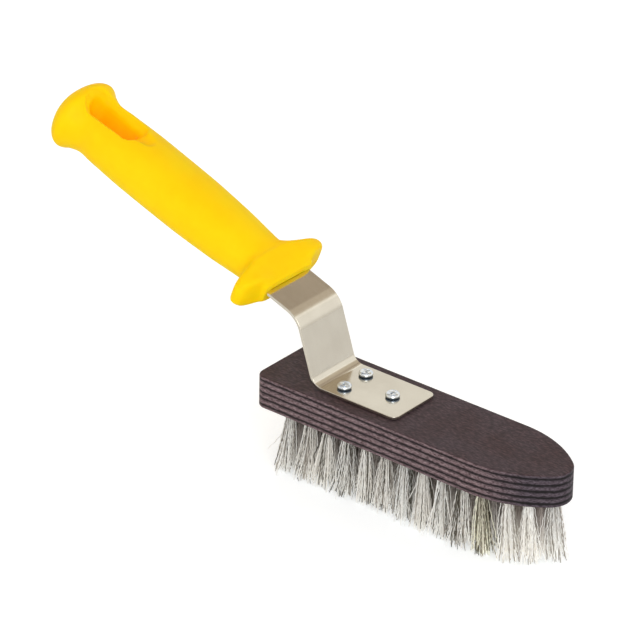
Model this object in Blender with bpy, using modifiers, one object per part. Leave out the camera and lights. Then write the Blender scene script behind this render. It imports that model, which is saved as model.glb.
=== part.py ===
"""Long-handled grill brush with a plywood block and wire tufts.

A moulded handle holds a bent steel strap.  Three screws fix the strap to a plywood block, and rows
of wire tufts stand in the block's underside.  The brush rests on its wire tips, at z = 0.
X runs forward to the pointed nose, Y across, Z up.  Everything is in metres.
"""

import math
import random

import bmesh
import bpy
from mathutils import Matrix, Vector

# Shared clearances
SEAT_GAP = 0.0003            # gap between pieces that touch
CUT_OVERRUN = 0.002          # how far a cutter runs past what it cuts
MERGE_DISTANCE = 0.00001     # points closer than this become one

# Plywood block
BLOCK_LENGTH = 0.1499
BLOCK_WIDTH = 0.040
BLOCK_THICKNESS = 0.015
REAR_CORNER_RADIUS = 0.005
NOSE_SIDE_RADIUS = 0.050     # the long curves that draw the sides in
NOSE_TIP_RADIUS = 0.010
ARRIS_RADIUS = 0.0006

# Wire tufts
WIRE_LENGTH = 0.0295         # from the block's underside to the tips
ROW_PITCH = 0.01013          # from one cross row to the next
FULL_ROWS = 11
TUFT_PITCH = 0.00675         # between tufts in a cross row
TUFTS_ACROSS = 5
FIRST_ROW_INSET = 0.0152     # first row to the block's rear face
NOSE_ROW_INSETS = (0.0220, 0.0138, 0.0075)   # last rows to the tip of the nose
ORIGIN_ROW = 6               # the row that stands over the origin
EDGE_MARGIN = 0.0063         # outer tufts of the nose rows to the block's side
TUFT_ROOT_RADIUS = 0.00125   # circle of the outer strands where they leave the block
TUFT_TIP_RADIUS = 0.0024     # the same circle at the tips
STRAND_RADIUS = 0.00056
STRANDS_AROUND = 6
STRAND_SIDES = 3
STRAND_ROOT_DEPTH = 0.001    # length of strand buried in its slice
TIP_RAGGEDNESS = 0.0014      # how much shorter some strands are
TIP_JITTER = 0.00018
REAR_LEAN = 0.0046           # backward lean of the rearmost row's tips
NOSE_LEAN = 0.0030           # forward lean at the nose
SIDE_LEAN = 0.0006           # outward lean of the outermost tufts
SLICE_WIDTH = 0.0050
SLICE_THICKNESS = 0.0025

# Bent strap
STRAP_THICKNESS = 0.0014
STRAP_WIDTH = 0.028
PLATE_FRONT_INSET = 0.0705   # plate's front edge to the block's rear face
PLATE_CORNER_RADIUS = 0.003
RISER_FOOT_INSET = 0.0271    # where the riser's line meets the plate's
RISER_LEAN = math.radians(18.0)
RISER_HEIGHT = 0.0292        # plate to the corner of the upper bend
LOWER_BEND_RADIUS = 0.006
UPPER_BEND_RADIUS = 0.0118
HANDLE_TILT = math.radians(20.0)
TANG_RUN = 0.0177            # corner of the upper bend to the handle's mouth
SHOULDER_DEPTH = 0.006       # full-width strap inside the mouth
TANG_LENGTH = 0.044
TANG_WIDTH = 0.014
BARB_COUNT = 3
BARB_PITCH = 0.010
BARB_LENGTH = 0.005
BARB_DEPTH = 0.0009

# Screws
SCREW_HEAD_DIAMETER = 0.0065
SCREW_HEAD_HEIGHT = 0.0021
SCREW_SHANK_DIAMETER = 0.0034
SCREW_SHANK_LENGTH = 0.012
SCREW_POINT_LENGTH = 0.003
SCREW_HOLE_CLEARANCE = 0.0004
RECESS_SPAN = 0.0036
RECESS_BLADE = 0.0009
RECESS_DEPTH = 0.0013
FIRST_RECESS_TURN = math.radians(65)
NEXT_RECESS_TURN = math.radians(40)
REAR_SCREW_INSET = 0.0383    # rear pair to the block's rear face
REAR_SCREW_SPACING = 0.0144
FRONT_SCREW_INSET = 0.0583

# Handle
HANDLE_LENGTH = 0.1300
MOUTH_WIDTH = 0.0310
MOUTH_RISE = 0.0044          # plastic above the strap's middle plane
MOUTH_DROP = 0.0055          # plastic below it
MOUTH_EDGE = 0.0004
GUARD_WIDTH = 0.0556
GUARD_LENGTH = 0.016
GUARD_RISE = 0.0102
GUARD_DROP = 0.0091
WING_RISE = 0.0088
WING_DROP = 0.0074
WING_ROOT = 0.014            # half width at which the wings leave the body
GRIP_WIDTH = 0.0302
GRIP_HEIGHT = 0.0248
WAIST_WIDTH = 0.0247
WAIST_HEIGHT = 0.0198
NECK_WIDTH = 0.0272
NECK_HEIGHT = 0.0239
NECK_INSET = 0.0190          # neck to the butt's end
FLANK_WIDTH = 0.0312         # where the neck turns out into the butt
FLANK_HEIGHT = 0.0264
FLANK_INSET = 0.0130
BULB_WIDTH = 0.0360
BULB_HEIGHT = 0.0304
BULB_INSET = 0.0089          # fattest part of the butt to its end
HANG_SLOT_WIDTH = 0.0100
HANG_SLOT_LENGTH = 0.0234
HANG_SLOT_INSET = 0.0255     # middle of the slot to the butt's end
HANG_SLOT_STRAIGHT = 0.0059  # half the height of its straight-walled middle
HANG_SLOT_ROUNDING = 0.0040
HANG_SLOT_ROLL = math.radians(80)
SCOOP_RADIUS = 0.0075        # ball that hollows out the slot's front end
SCOOP_RISE = 0.0045          # ball's centre above the grip's skin
SCOOP_REACH = 0.0153         # foremost place of that centre, from the slot's middle
SCOOP_RUN = 0.0090           # how far back it runs from there

# How finely curves are divided
ARC_STEPS = 10
CORNER_STEPS = 6
BEND_STEPS = 8
SCREW_STEPS = 20
RING_POINTS = 44
GUARD_STEPS = 20
GRIP_STEPS = 9
BULB_STEPS = 6
DOME_STEPS = 7
SLOT_STEPS = 6
SCOOP_STEPS = 20
STRAND_SEED = 7

# Guard stations from the mouth back: place along the guard, width from mouth to wing tip,
# rise, drop, how far the wing has grown, roundness of the outline
GUARD_SHARES = (
    (0.00, 0.00, 0.00, 0.00, 0.00, 6.5),
    (0.08, 0.08, 0.10, 0.13, 0.40, 5.5),
    (0.14, 0.32, 0.19, 0.20, 0.80, 4.8),
    (0.19, 0.64, 0.26, 0.31, 1.00, 4.3),
    (0.24, 0.86, 0.35, 0.42, 1.00, 4.1),
    (0.32, 0.97, 0.48, 0.55, 1.00, 4.0),
    (0.40, 1.00, 0.60, 0.68, 1.00, 4.0),
    (0.49, 0.98, 0.73, 0.79, 1.00, 4.0),
    (0.56, 0.88, 0.84, 0.89, 1.00, 4.0),
    (0.63, 0.65, 0.93, 0.96, 1.00, 3.8),
    (0.70, 0.30, 1.00, 1.00, 0.85, 3.5),
    (0.78, 0.03, 0.92, 0.88, 0.40, 3.1),
)
# Grip stations from the guard to the neck: place, width and height from waist to full grip
GRIP_SHARES = (
    (0.00, 0.00, 0.00),
    (0.05, 0.11, 0.16),
    (0.20, 0.54, 0.63),
    (0.46, 0.95, 0.96),
    (0.72, 1.00, 1.00),
    (0.93, 0.79, 0.80),
)
# Screw head's outline from the middle of its top: across from the axis, up from the plate
HEAD_SHARES = (
    (0.00, 1.00),
    (0.45, 0.97),
    (0.75, 0.86),
    (0.93, 0.66),
    (1.00, 0.40),
    (1.00, 0.08),
    (0.96, 0.00),
)
TUFT_COUNT_SLACK_SHARE = 0.01
GRIP_ROUNDNESS_SHARE = 2.25
WING_FALLOFF_SHARE = 4.0
FIRST_RING_SHARE = 0.07      # of the guard's length, where its even rings start
BUTT_ROUNDNESS_SHARE = 0.92
BUTT_END_SHARE = 0.4         # of one step, left flat at the butt's end


def clear_scene():
    """Remove whatever objects the file starts with."""
    for item in list(bpy.data.objects):
        bpy.data.objects.remove(item, do_unlink=True)


def new_collection(name):
    """Make a collection and link it to the scene."""
    group = bpy.data.collections.new(name)
    bpy.context.scene.collection.children.link(group)
    return group


def linear(channel):
    """Turn one sRGB channel, 0 to 255, into a linear value."""
    value = channel / 255
    if value <= 0.04045:
        return value / 12.92
    return ((value + 0.055) / 1.055) ** 2.4


def make_material(name, rgb, roughness, metallic):
    """Make a plain Principled material."""
    material = bpy.data.materials.new(name)
    material.use_nodes = True
    shader = material.node_tree.nodes["Principled BSDF"]
    colour = [linear(channel) for channel in rgb]
    shader.inputs["Base Color"].default_value = (*colour, 1.0)
    shader.inputs["Roughness"].default_value = roughness
    shader.inputs["Metallic"].default_value = metallic
    return material


def add_object(name, mesh, group, parent=None, material=None):
    """Link a mesh as a new object."""
    item = bpy.data.objects.new(name, mesh)
    group.objects.link(item)
    if parent is not None:
        item.parent = parent
    if material is not None:
        item.data.materials.append(material)
    return item


def mesh_from_bmesh(name, bm):
    """Turn a bmesh into a mesh with its faces pointing out."""
    bmesh.ops.recalc_face_normals(bm, faces=bm.faces[:])
    mesh = bpy.data.meshes.new(name)
    bm.to_mesh(mesh)
    bm.free()
    return mesh


def shade_round(mesh, limit=math.radians(35)):
    """Shade a mesh smooth and keep its real edges sharp."""
    mesh.shade_smooth()
    mesh.set_sharp_from_angle(angle=limit)


def plate_mesh(name, outline, thickness):
    """Fill a flat outline in the XY plane and give it a thickness about z = 0."""
    curve = bpy.data.curves.new(name, "CURVE")
    curve.dimensions = "2D"
    curve.fill_mode = "BOTH"
    curve.extrude = thickness / 2
    spline = curve.splines.new("POLY")
    spline.points.add(len(outline) - 1)
    for point, (x, y) in zip(spline.points, outline):
        point.co = (x, y, 0, 1)
    spline.use_cyclic_u = True
    item = bpy.data.objects.new(name, curve)
    bpy.context.scene.collection.objects.link(item)
    evaluated = item.evaluated_get(bpy.context.evaluated_depsgraph_get())
    mesh = bpy.data.meshes.new_from_object(evaluated)
    bpy.data.objects.remove(item, do_unlink=True)
    bm = bmesh.new()
    bm.from_mesh(mesh)
    bmesh.ops.remove_doubles(bm, verts=bm.verts[:], dist=MERGE_DISTANCE)
    bpy.data.meshes.remove(mesh)
    return mesh_from_bmesh(name, bm)


def box_mesh(name, low, high):
    """Make a box between two corners."""
    bm = bmesh.new()
    size = [b - a for a, b in zip(low, high)]
    centre = [(a + b) / 2 for a, b in zip(low, high)]
    matrix = Matrix.Translation(centre) @ Matrix.Diagonal((*size, 1))
    bmesh.ops.create_cube(bm, size=1, matrix=matrix)
    return mesh_from_bmesh(name, bm)


def cut(item, cutter, operation="DIFFERENCE"):
    """Cut one object with another, or join them."""
    cutter.hide_render = True
    cutter.display_type = "WIRE"
    modifier = item.modifiers.new(cutter.name, "BOOLEAN")
    modifier.operation = operation
    modifier.solver = "EXACT"
    modifier.object = cutter


def arc_points(centre, radius, start, end, steps=ARC_STEPS):
    """Give points along an arc, ends included."""
    points = []
    for step in range(steps + 1):
        angle = start + (end - start) * step / steps
        points.append((centre[0] + radius * math.cos(angle), centre[1] + radius * math.sin(angle)))
    return points


def block_rear():
    """X of the block's rear face, which puts one row of tufts over the origin."""
    return -(FIRST_ROW_INSET + ORIGIN_ROW * ROW_PITCH)


def nose_layout():
    """Work out where the nose's side curve starts and where its tip curve takes over."""
    tip_x = block_rear() + BLOCK_LENGTH - NOSE_TIP_RADIUS
    rise = NOSE_SIDE_RADIUS - BLOCK_WIDTH / 2
    reach = NOSE_SIDE_RADIUS - NOSE_TIP_RADIUS
    start_x = tip_x - math.sqrt(reach ** 2 - rise ** 2)
    lean = math.atan2(rise, tip_x - start_x)
    return start_x, tip_x, lean


def half_width_at(x):
    """Half the block's width at a place along it."""
    start_x, tip_x, lean = nose_layout()
    if x <= start_x:
        return BLOCK_WIDTH / 2
    if x <= tip_x + NOSE_TIP_RADIUS * math.cos(lean):
        rise = NOSE_SIDE_RADIUS - BLOCK_WIDTH / 2
        return math.sqrt(NOSE_SIDE_RADIUS ** 2 - (x - start_x) ** 2) - rise
    return math.sqrt(max(0.0, NOSE_TIP_RADIUS ** 2 - (x - tip_x) ** 2))


def block_outline():
    """Plan outline of the block: square rear with round corners, sides that curve in to the nose."""
    rear = block_rear()
    half = BLOCK_WIDTH / 2
    radius = REAR_CORNER_RADIUS
    start_x, tip_x, lean = nose_layout()
    drop = NOSE_SIDE_RADIUS - half
    quarter = math.pi / 2
    points = arc_points((rear + radius, radius - half), radius, -math.pi, -quarter,
                        CORNER_STEPS)
    points += arc_points((start_x, drop), NOSE_SIDE_RADIUS, -quarter, -lean)
    points += arc_points((tip_x, 0), NOSE_TIP_RADIUS, -lean, lean)[1:-1]
    points += arc_points((start_x, -drop), NOSE_SIDE_RADIUS, lean, quarter)
    points += arc_points((rear + radius, half - radius), radius, quarter, math.pi,
                         CORNER_STEPS)
    return points


def tuft_rows():
    """List the cross rows as (x, [y of each tuft])."""
    widest = (TUFTS_ACROSS - 1) / 2 * TUFT_PITCH
    places = [block_rear() + FIRST_ROW_INSET + ROW_PITCH * index for index in range(FULL_ROWS)]
    places += [block_rear() + BLOCK_LENGTH - inset for inset in NOSE_ROW_INSETS]
    rows = []
    for x in places:
        reach = min(half_width_at(x) - EDGE_MARGIN, widest)
        count = 1 + int(2 * reach / TUFT_PITCH + TUFT_COUNT_SLACK_SHARE)
        if x == places[-1]:
            count, reach = 1, 0.0
        step = 2 * reach / max(1, count - 1)
        rows.append((x, [step * index - reach for index in range(count)]))
    return rows


def tip_lean(x, y):
    """How far a tuft's tip stands from its root: rows lean out towards both ends and both sides."""
    if x < 0:
        along = -REAR_LEAN * (x / (block_rear() + FIRST_ROW_INSET)) ** 2
    else:
        along = NOSE_LEAN * (x / (block_rear() + BLOCK_LENGTH)) ** 2
    return along, SIDE_LEAN * y / (BLOCK_WIDTH / 2)


def stadium_outline(half_length, half_width):
    """A slot shape that lies along Y."""
    straight = max(half_length - half_width, 0.0)
    points = arc_points((0, straight), half_width, 0, math.pi)
    points += arc_points((0, -straight), half_width, math.pi, 2 * math.pi)
    if straight == 0.0:
        points = arc_points((0, 0), half_width, 0, 2 * math.pi, steps=2 * ARC_STEPS)[:-1]
    return points


def add_strand(bm, root, tip, tip_z, turn):
    """Add one straight strand whose end is level, by shearing an upright three-sided bar."""
    top = STRAND_ROOT_DEPTH
    bottom = tip_z
    made = bmesh.ops.create_cone(
        bm, cap_ends=True, cap_tris=False, segments=STRAND_SIDES, radius1=STRAND_RADIUS,
        radius2=STRAND_RADIUS, depth=top - bottom,
        matrix=Matrix.Translation((0, 0, (top + bottom) / 2)) @ Matrix.Rotation(turn, 4, "Z"))
    slope_x = (tip[0] - root[0]) / -WIRE_LENGTH
    slope_y = (tip[1] - root[1]) / -WIRE_LENGTH
    for vert in made["verts"]:
        vert.co.x += root[0] + slope_x * vert.co.z
        vert.co.y += root[1] + slope_y * vert.co.z


def tuft_strands(name, row_x, tufts, chance):
    """All the strands of one cross row, around the row's own origin."""
    bm = bmesh.new()
    for y in tufts:
        along, aside = tip_lean(row_x, y)
        centre_tip = (along, y + aside)
        add_strand(bm, (0, y), centre_tip, -WIRE_LENGTH, chance.uniform(0, math.pi))
        for index in range(STRANDS_AROUND):
            angle = 2 * math.pi * (index + 0.5) / STRANDS_AROUND
            root = (TUFT_ROOT_RADIUS * math.cos(angle), y + TUFT_ROOT_RADIUS * math.sin(angle))
            spread = TUFT_TIP_RADIUS + chance.uniform(-TIP_JITTER, TIP_JITTER)
            tip = (centre_tip[0] + spread * math.cos(angle), centre_tip[1] + spread * math.sin(angle))
            short = max(0.0, chance.uniform(-TIP_RAGGEDNESS, TIP_RAGGEDNESS))
            add_strand(bm, root, tip, short - WIRE_LENGTH, chance.uniform(0, math.pi))
    return mesh_from_bmesh(name, bm)


def slice_half_length(tufts):
    """Half the length of the slice of wood that carries a row."""
    return (max(tufts) - min(tufts)) / 2 + SLICE_WIDTH / 2


def make_tuft_rows(group, cutters, parent, material):
    """One object for each cross row: its strands, fused to a slice of the block's underside."""
    chance = random.Random(STRAND_SEED)
    for number, (row_x, tufts) in enumerate(tuft_rows(), start=1):
        name = f"tuft_row_{number:02d}"
        outline = stadium_outline(slice_half_length(tufts), SLICE_WIDTH / 2)
        mesh = plate_mesh(name, outline, SLICE_THICKNESS)
        mesh.transform(Matrix.Translation((0, 0, SLICE_THICKNESS / 2)))
        item = add_object(name, mesh, group, parent, material)
        item.location = (row_x, 0, WIRE_LENGTH)
        strands = add_object(f"{name}_strands", tuft_strands(name, row_x, tufts, chance), cutters, parent)
        strands.location = item.location
        cut(item, strands, "UNION")


def make_block(group, cutters, parent, material):
    """Plywood block with eased edges, seats for the tuft rows and pilot holes for the screws."""
    mesh = plate_mesh("brush_block", block_outline(), BLOCK_THICKNESS)
    item = add_object("brush_block", mesh, group, parent, material)
    item.location = (0, 0, WIRE_LENGTH + BLOCK_THICKNESS / 2)
    bevel = item.modifiers.new("eased edges", "BEVEL")
    bevel.width = ARRIS_RADIUS
    bevel.segments = 2
    bevel.limit_method = "ANGLE"
    bevel.angle_limit = math.radians(60)
    shade_round(item.data)
    depth = SLICE_THICKNESS + SEAT_GAP + CUT_OVERRUN
    for number, (row_x, tufts) in enumerate(tuft_rows(), start=1):
        half = slice_half_length(tufts) + SEAT_GAP
        outline = stadium_outline(half, SLICE_WIDTH / 2 + SEAT_GAP)
        seat = add_object(f"row_seat_{number:02d}", plate_mesh("row_seat", outline, depth), cutters, parent)
        seat.location = (row_x, 0, WIRE_LENGTH + SLICE_THICKNESS + SEAT_GAP - depth / 2)
        cut(item, seat)
    for number, (x, y) in enumerate(screw_places(), start=1):
        reach = SCREW_SHANK_LENGTH + SEAT_GAP
        radius = SCREW_SHANK_DIAMETER / 2 + SEAT_GAP
        hole = add_cylinder(f"pilot_hole_{number}", radius, reach + CUT_OVERRUN, cutters, parent)
        hole.location = (x, y, screw_seat_z() - reach + (reach + CUT_OVERRUN) / 2)
        cut(item, hole)


def add_cylinder(name, radius, depth, group, parent):
    """A plain upright cylinder, used for cutting round holes."""
    bm = bmesh.new()
    bmesh.ops.create_cone(bm, cap_ends=True, segments=SCREW_STEPS, radius1=radius, radius2=radius,
                          depth=depth)
    return add_object(name, mesh_from_bmesh(name, bm), group, parent)


def block_top():
    """Height of the block's top face."""
    return WIRE_LENGTH + BLOCK_THICKNESS


def plate_level():
    """Height of the plate's middle plane."""
    return block_top() + SEAT_GAP + STRAP_THICKNESS / 2


def screw_seat_z():
    """Height of the underside of the screw heads."""
    return plate_level() + STRAP_THICKNESS / 2 + SEAT_GAP


def screw_places():
    """Plan places of the three screws: a pair behind, one in front."""
    rear_x = block_rear() + REAR_SCREW_INSET
    front_x = block_rear() + FRONT_SCREW_INSET
    half = REAR_SCREW_SPACING / 2
    return [(rear_x, -half), (rear_x, half), (front_x, 0)]


def bend_corner():
    """Where the riser's line meets the tang's line, in the XZ plane."""
    foot_x = block_rear() + RISER_FOOT_INSET
    return (foot_x - RISER_HEIGHT * math.tan(RISER_LEAN), plate_level() + RISER_HEIGHT)


def mouth_place():
    """Middle of the handle's mouth, on the strap's middle plane."""
    corner_x, corner_z = bend_corner()
    return (corner_x - TANG_RUN * math.cos(HANDLE_TILT), corner_z + TANG_RUN * math.sin(HANDLE_TILT))


def strap_centreline():
    """Middle line of the strap in the XZ plane, from the plate's front edge to the tang's end."""
    foot = Vector((block_rear() + RISER_FOOT_INSET, plate_level()))
    corner = Vector(bend_corner())
    front = Vector((block_rear() + PLATE_FRONT_INSET, plate_level()))
    back = Vector((-math.cos(HANDLE_TILT), math.sin(HANDLE_TILT)))
    end = Vector(mouth_place()) + back * (SHOULDER_DEPTH + TANG_LENGTH)
    points = [front]
    points += fillet(front, foot, corner, LOWER_BEND_RADIUS)
    points += fillet(foot, corner, end, UPPER_BEND_RADIUS)
    points.append(end)
    return points


def fillet(before, corner, after, radius):
    """Points of the arc that rounds a corner between two straight lines."""
    to_before = (before - corner).normalized()
    to_after = (after - corner).normalized()
    half_angle = to_before.angle(to_after) / 2
    centre = corner + (to_before + to_after).normalized() * (radius / math.sin(half_angle))
    first = corner + to_before * (radius / math.tan(half_angle)) - centre
    last = corner + to_after * (radius / math.tan(half_angle)) - centre
    turn = math.atan2(first.x * last.y - first.y * last.x, first.dot(last))
    points = []
    for step in range(BEND_STEPS + 1):
        spoke = first.copy()
        spoke.rotate(Matrix.Rotation(turn * step / BEND_STEPS, 2))
        points.append(centre + spoke)
    return points


def thicken(line, thickness):
    """Offset a line to both sides and join the two sides into one closed outline."""
    left, right = [], []
    for index, point in enumerate(line):
        ahead = line[min(index + 1, len(line) - 1)] - point
        behind = point - line[max(index - 1, 0)]
        if index == 0:
            behind = ahead
        if index == len(line) - 1:
            ahead = behind
        mean = (ahead.normalized() + behind.normalized()).normalized()
        spread = thickness / 2 / mean.dot(ahead.normalized())
        side = Vector((-mean.y, mean.x)) * spread
        left.append(point + side)
        right.append(point - side)
    return [tuple(point) for point in left + right[::-1]]


def tang_side_outline():
    """Waste beside the tang: from the shoulder back, with the barbs' teeth left standing."""
    inner = TANG_WIDTH / 2
    outer = STRAP_WIDTH / 2 + CUT_OVERRUN
    end = SHOULDER_DEPTH + TANG_LENGTH + CUT_OVERRUN
    points = [(SHOULDER_DEPTH, outer), (SHOULDER_DEPTH, inner)]
    for index in range(BARB_COUNT):
        tooth = SHOULDER_DEPTH + BARB_PITCH * (index + 1)
        points += [(tooth - BARB_LENGTH / 2, inner + BARB_DEPTH), (tooth + BARB_LENGTH / 2, inner)]
    points += [(end, inner), (end, outer)]
    return points


def make_strap(group, cutters, parent, material):
    """Steel strap: a screwed plate, a leaning riser and a barbed tang, bent from one piece."""
    outline = thicken(strap_centreline(), STRAP_THICKNESS)
    mesh = plate_mesh("bent_strap", outline, STRAP_WIDTH)
    mesh.transform(Matrix.Rotation(math.pi / 2, 4, "X"))
    round_plate_corners(mesh)
    shade_round(mesh)
    item = add_object("bent_strap", mesh, group, parent, material)
    mouth_x, mouth_z = mouth_place()
    for side, flip in (("left", 1), ("right", -1)):
        outline = [(-s, flip * y) for s, y in tang_side_outline()]
        waste = add_object(f"tang_waste_{side}", plate_mesh("tang_waste", outline, STRAP_WIDTH / 2),
                           cutters, parent)
        waste.location = (mouth_x, 0, mouth_z)
        waste.rotation_euler = (0, HANDLE_TILT, 0)
        cut(item, waste)
    for number, (x, y) in enumerate(screw_places(), start=1):
        radius = SCREW_SHANK_DIAMETER / 2 + SCREW_HOLE_CLEARANCE
        depth = STRAP_THICKNESS + 2 * CUT_OVERRUN
        hole = add_cylinder(f"strap_hole_{number}", radius, depth, cutters, parent)
        hole.location = (x, y, plate_level())
        cut(item, hole)


def round_plate_corners(mesh):
    """Round the plate's two front corners in plan."""
    bm = bmesh.new()
    bm.from_mesh(mesh)
    front = block_rear() + PLATE_FRONT_INSET
    edges = []
    for edge in bm.edges:
        first, last = edge.verts
        upright = abs(first.co.y - last.co.y) < SEAT_GAP and abs(first.co.z - last.co.z) > SEAT_GAP
        if upright and abs(first.co.x - front) < SEAT_GAP and abs(last.co.x - front) < SEAT_GAP:
            edges.append(edge)
    bmesh.ops.bevel(bm, geom=edges, offset=PLATE_CORNER_RADIUS, segments=CORNER_STEPS,
                    profile=0.5, affect="EDGES")
    bm.to_mesh(mesh)
    bm.free()


def screw_profile():
    """Half outline of a pan-head screw, from the top of its head down to its point."""
    head = SCREW_HEAD_DIAMETER / 2
    height = SCREW_HEAD_HEIGHT
    shank = SCREW_SHANK_DIAMETER / 2
    points = [(head * across, height * up) for across, up in HEAD_SHARES]
    points.append((shank, 0))
    points.append((shank, SCREW_POINT_LENGTH - SCREW_SHANK_LENGTH))
    points.append((0, -SCREW_SHANK_LENGTH))
    return points


def make_screws(group, cutters, parent, material):
    """Three cross-recessed pan-head screws, each turned from one profile."""
    for number, (x, y) in enumerate(screw_places(), start=1):
        name = f"plate_screw_{number}"
        bm = bmesh.new()
        verts = [bm.verts.new((across, 0, up)) for across, up in screw_profile()]
        for first, last in zip(verts, verts[1:]):
            bm.edges.new((first, last))
        mesh = bpy.data.meshes.new(name)
        bm.to_mesh(mesh)
        bm.free()
        item = add_object(name, mesh, group, parent, material)
        item.location = (x, y, screw_seat_z())
        item.rotation_euler = (0, 0, FIRST_RECESS_TURN + NEXT_RECESS_TURN * (number - 1))
        turned = item.modifiers.new("turned", "SCREW")
        turned.steps = SCREW_STEPS
        turned.render_steps = SCREW_STEPS
        turned.use_merge_vertices = True
        turned.merge_threshold = MERGE_DISTANCE
        turned.use_smooth_shade = True
        for blade, turn in (("a", 0), ("b", math.pi / 2)):
            cutter = add_object(f"recess_{number}{blade}", recess_mesh(), cutters, parent)
            cutter.location = item.location
            cutter.rotation_euler = (0, 0, item.rotation_euler.z + turn)
            cut(item, cutter)


def recess_mesh():
    """One blade of the driver's cross: wide at the top, drawn in towards the bottom."""
    top = SCREW_HEAD_HEIGHT + CUT_OVERRUN
    bottom = SCREW_HEAD_HEIGHT - RECESS_DEPTH
    mesh = box_mesh("recess", (-RECESS_SPAN / 2, -RECESS_BLADE / 2, bottom),
                    (RECESS_SPAN / 2, RECESS_BLADE / 2, top))
    for vert in mesh.vertices:
        if vert.co.z < SCREW_HEAD_HEIGHT - RECESS_DEPTH / 2:
            vert.co.x /= 2
    return mesh


def blend_table(rows, place, column):
    """Read a table of stations between its rows, along a smooth curve with no overshoot."""
    if place <= rows[0][0]:
        return rows[0][column]
    if place >= rows[-1][0]:
        return rows[-1][column]
    index = max(i for i, row in enumerate(rows) if row[0] <= place)
    span = rows[index + 1][0] - rows[index][0]
    rise = rows[index + 1][column] - rows[index][column]
    start, end = table_slope(rows, index, column), table_slope(rows, index + 1, column)
    t = (place - rows[index][0]) / span
    curve = start * span * (t ** 3 - 2 * t ** 2 + t) + end * span * (t ** 3 - t ** 2)
    return rows[index][column] + rise * (3 * t ** 2 - 2 * t ** 3) + curve


def table_slope(rows, index, column):
    """Slope of the smooth curve at one row: level at a peak, a dip or an end."""
    if index in (0, len(rows) - 1):
        return 0.0
    before = (rows[index][column] - rows[index - 1][column]) / (rows[index][0] - rows[index - 1][0])
    after = (rows[index + 1][column] - rows[index][column]) / (rows[index + 1][0] - rows[index][0])
    if before * after <= 0:
        return 0.0
    return 2 * before * after / (before + after)


def handle_stations():
    """The handle's sizes from the mouth back: place, half width, rise, drop, wing rise, wing drop,
    roundness of the outline."""
    mouth, wing = MOUTH_WIDTH / 2, GUARD_WIDTH / 2
    rows = []
    for place, width, rise, drop, grown, roundness in GUARD_SHARES:
        up = MOUTH_RISE + (GUARD_RISE - MOUTH_RISE) * rise
        down = MOUTH_DROP + (GUARD_DROP - MOUTH_DROP) * drop
        rows.append((place * GUARD_LENGTH, mouth + (wing - mouth) * width, up, down,
                     up + (WING_RISE - up) * grown, down + (WING_DROP - down) * grown, roundness))
    neck = HANDLE_LENGTH - NECK_INSET
    for place, width, height in GRIP_SHARES:
        half = (WAIST_WIDTH + (GRIP_WIDTH - WAIST_WIDTH) * width) / 2
        tall = (WAIST_HEIGHT + (GRIP_HEIGHT - WAIST_HEIGHT) * height) / 2
        rows.append((GUARD_LENGTH + (neck - GUARD_LENGTH) * place, half, tall, tall, tall, tall,
                     GRIP_ROUNDNESS_SHARE))
    for inset, width, height in ((NECK_INSET, NECK_WIDTH, NECK_HEIGHT),
                                 (FLANK_INSET, FLANK_WIDTH, FLANK_HEIGHT),
                                 (BULB_INSET, BULB_WIDTH, BULB_HEIGHT)):
        place = HANDLE_LENGTH - inset
        rows.append((place, width / 2, height / 2, height / 2, height / 2, height / 2,
                     GRIP_ROUNDNESS_SHARE))
    return rows


def handle_ring(rows, place, scale=1.0):
    """One ring of points across the handle, in the plane x = -place."""
    half, rise, drop, wing_rise, wing_drop, roundness = (
        blend_table(rows, place, column) for column in range(1, 7))
    ring = []
    for index in range(RING_POINTS):
        angle = 2 * math.pi * index / RING_POINTS
        across = math.copysign(abs(math.cos(angle)) ** (2 / roundness), math.cos(angle))
        height = math.copysign(abs(math.sin(angle)) ** (2 / roundness), math.sin(angle))
        y = half * across
        body = 1 / (1 + (abs(y) / WING_ROOT) ** WING_FALLOFF_SHARE)
        if height > 0:
            z = height * (wing_rise + (rise - wing_rise) * body)
        else:
            z = height * (wing_drop + (drop - wing_drop) * body)
        ring.append((-place, y * scale, z * scale))
    return ring


def handle_rings():
    """All the rings of the handle, from the mouth to the butt."""
    rows = handle_stations()
    edge_shrink = 1 - MOUTH_EDGE / (MOUTH_WIDTH / 2)
    rings = [handle_ring(rows, 0.0, edge_shrink)]
    places = [MOUTH_EDGE]
    for step in range(GUARD_STEPS + 1):
        share = FIRST_RING_SHARE + (1 - FIRST_RING_SHARE) * step / GUARD_STEPS
        places.append(GUARD_LENGTH * share)
    crest = HANDLE_LENGTH - BULB_INSET
    neck = HANDLE_LENGTH - NECK_INSET
    for step in range(GRIP_STEPS):
        places.append(GUARD_LENGTH + (neck - GUARD_LENGTH) * (step + 1) / GRIP_STEPS)
    for step in range(BULB_STEPS):
        places.append(neck + (crest - neck) * (step + 1) / BULB_STEPS)
    rings += [handle_ring(rows, place) for place in places]
    for step in range(DOME_STEPS):
        angle = math.pi / 2 * (step + 1) / (DOME_STEPS + BUTT_END_SHARE)
        ring = handle_ring(rows, crest, math.cos(angle) ** BUTT_ROUNDNESS_SHARE)
        shift = BULB_INSET * math.sin(angle)
        rings.append([(x - shift, y, z) for x, y, z in ring])
    return rings


def loft(name, rings):
    """Join rings of points into one closed skin with flat ends."""
    bm = bmesh.new()
    loops = [[bm.verts.new(point) for point in ring] for ring in rings]
    count = len(rings[0])
    for first, last in zip(loops, loops[1:]):
        for index in range(count):
            after = (index + 1) % count
            bm.faces.new((first[index], first[after], last[after], last[index]))
    bm.faces.new(loops[0][::-1])
    bm.faces.new(loops[-1])
    return mesh_from_bmesh(name, bm)


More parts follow.
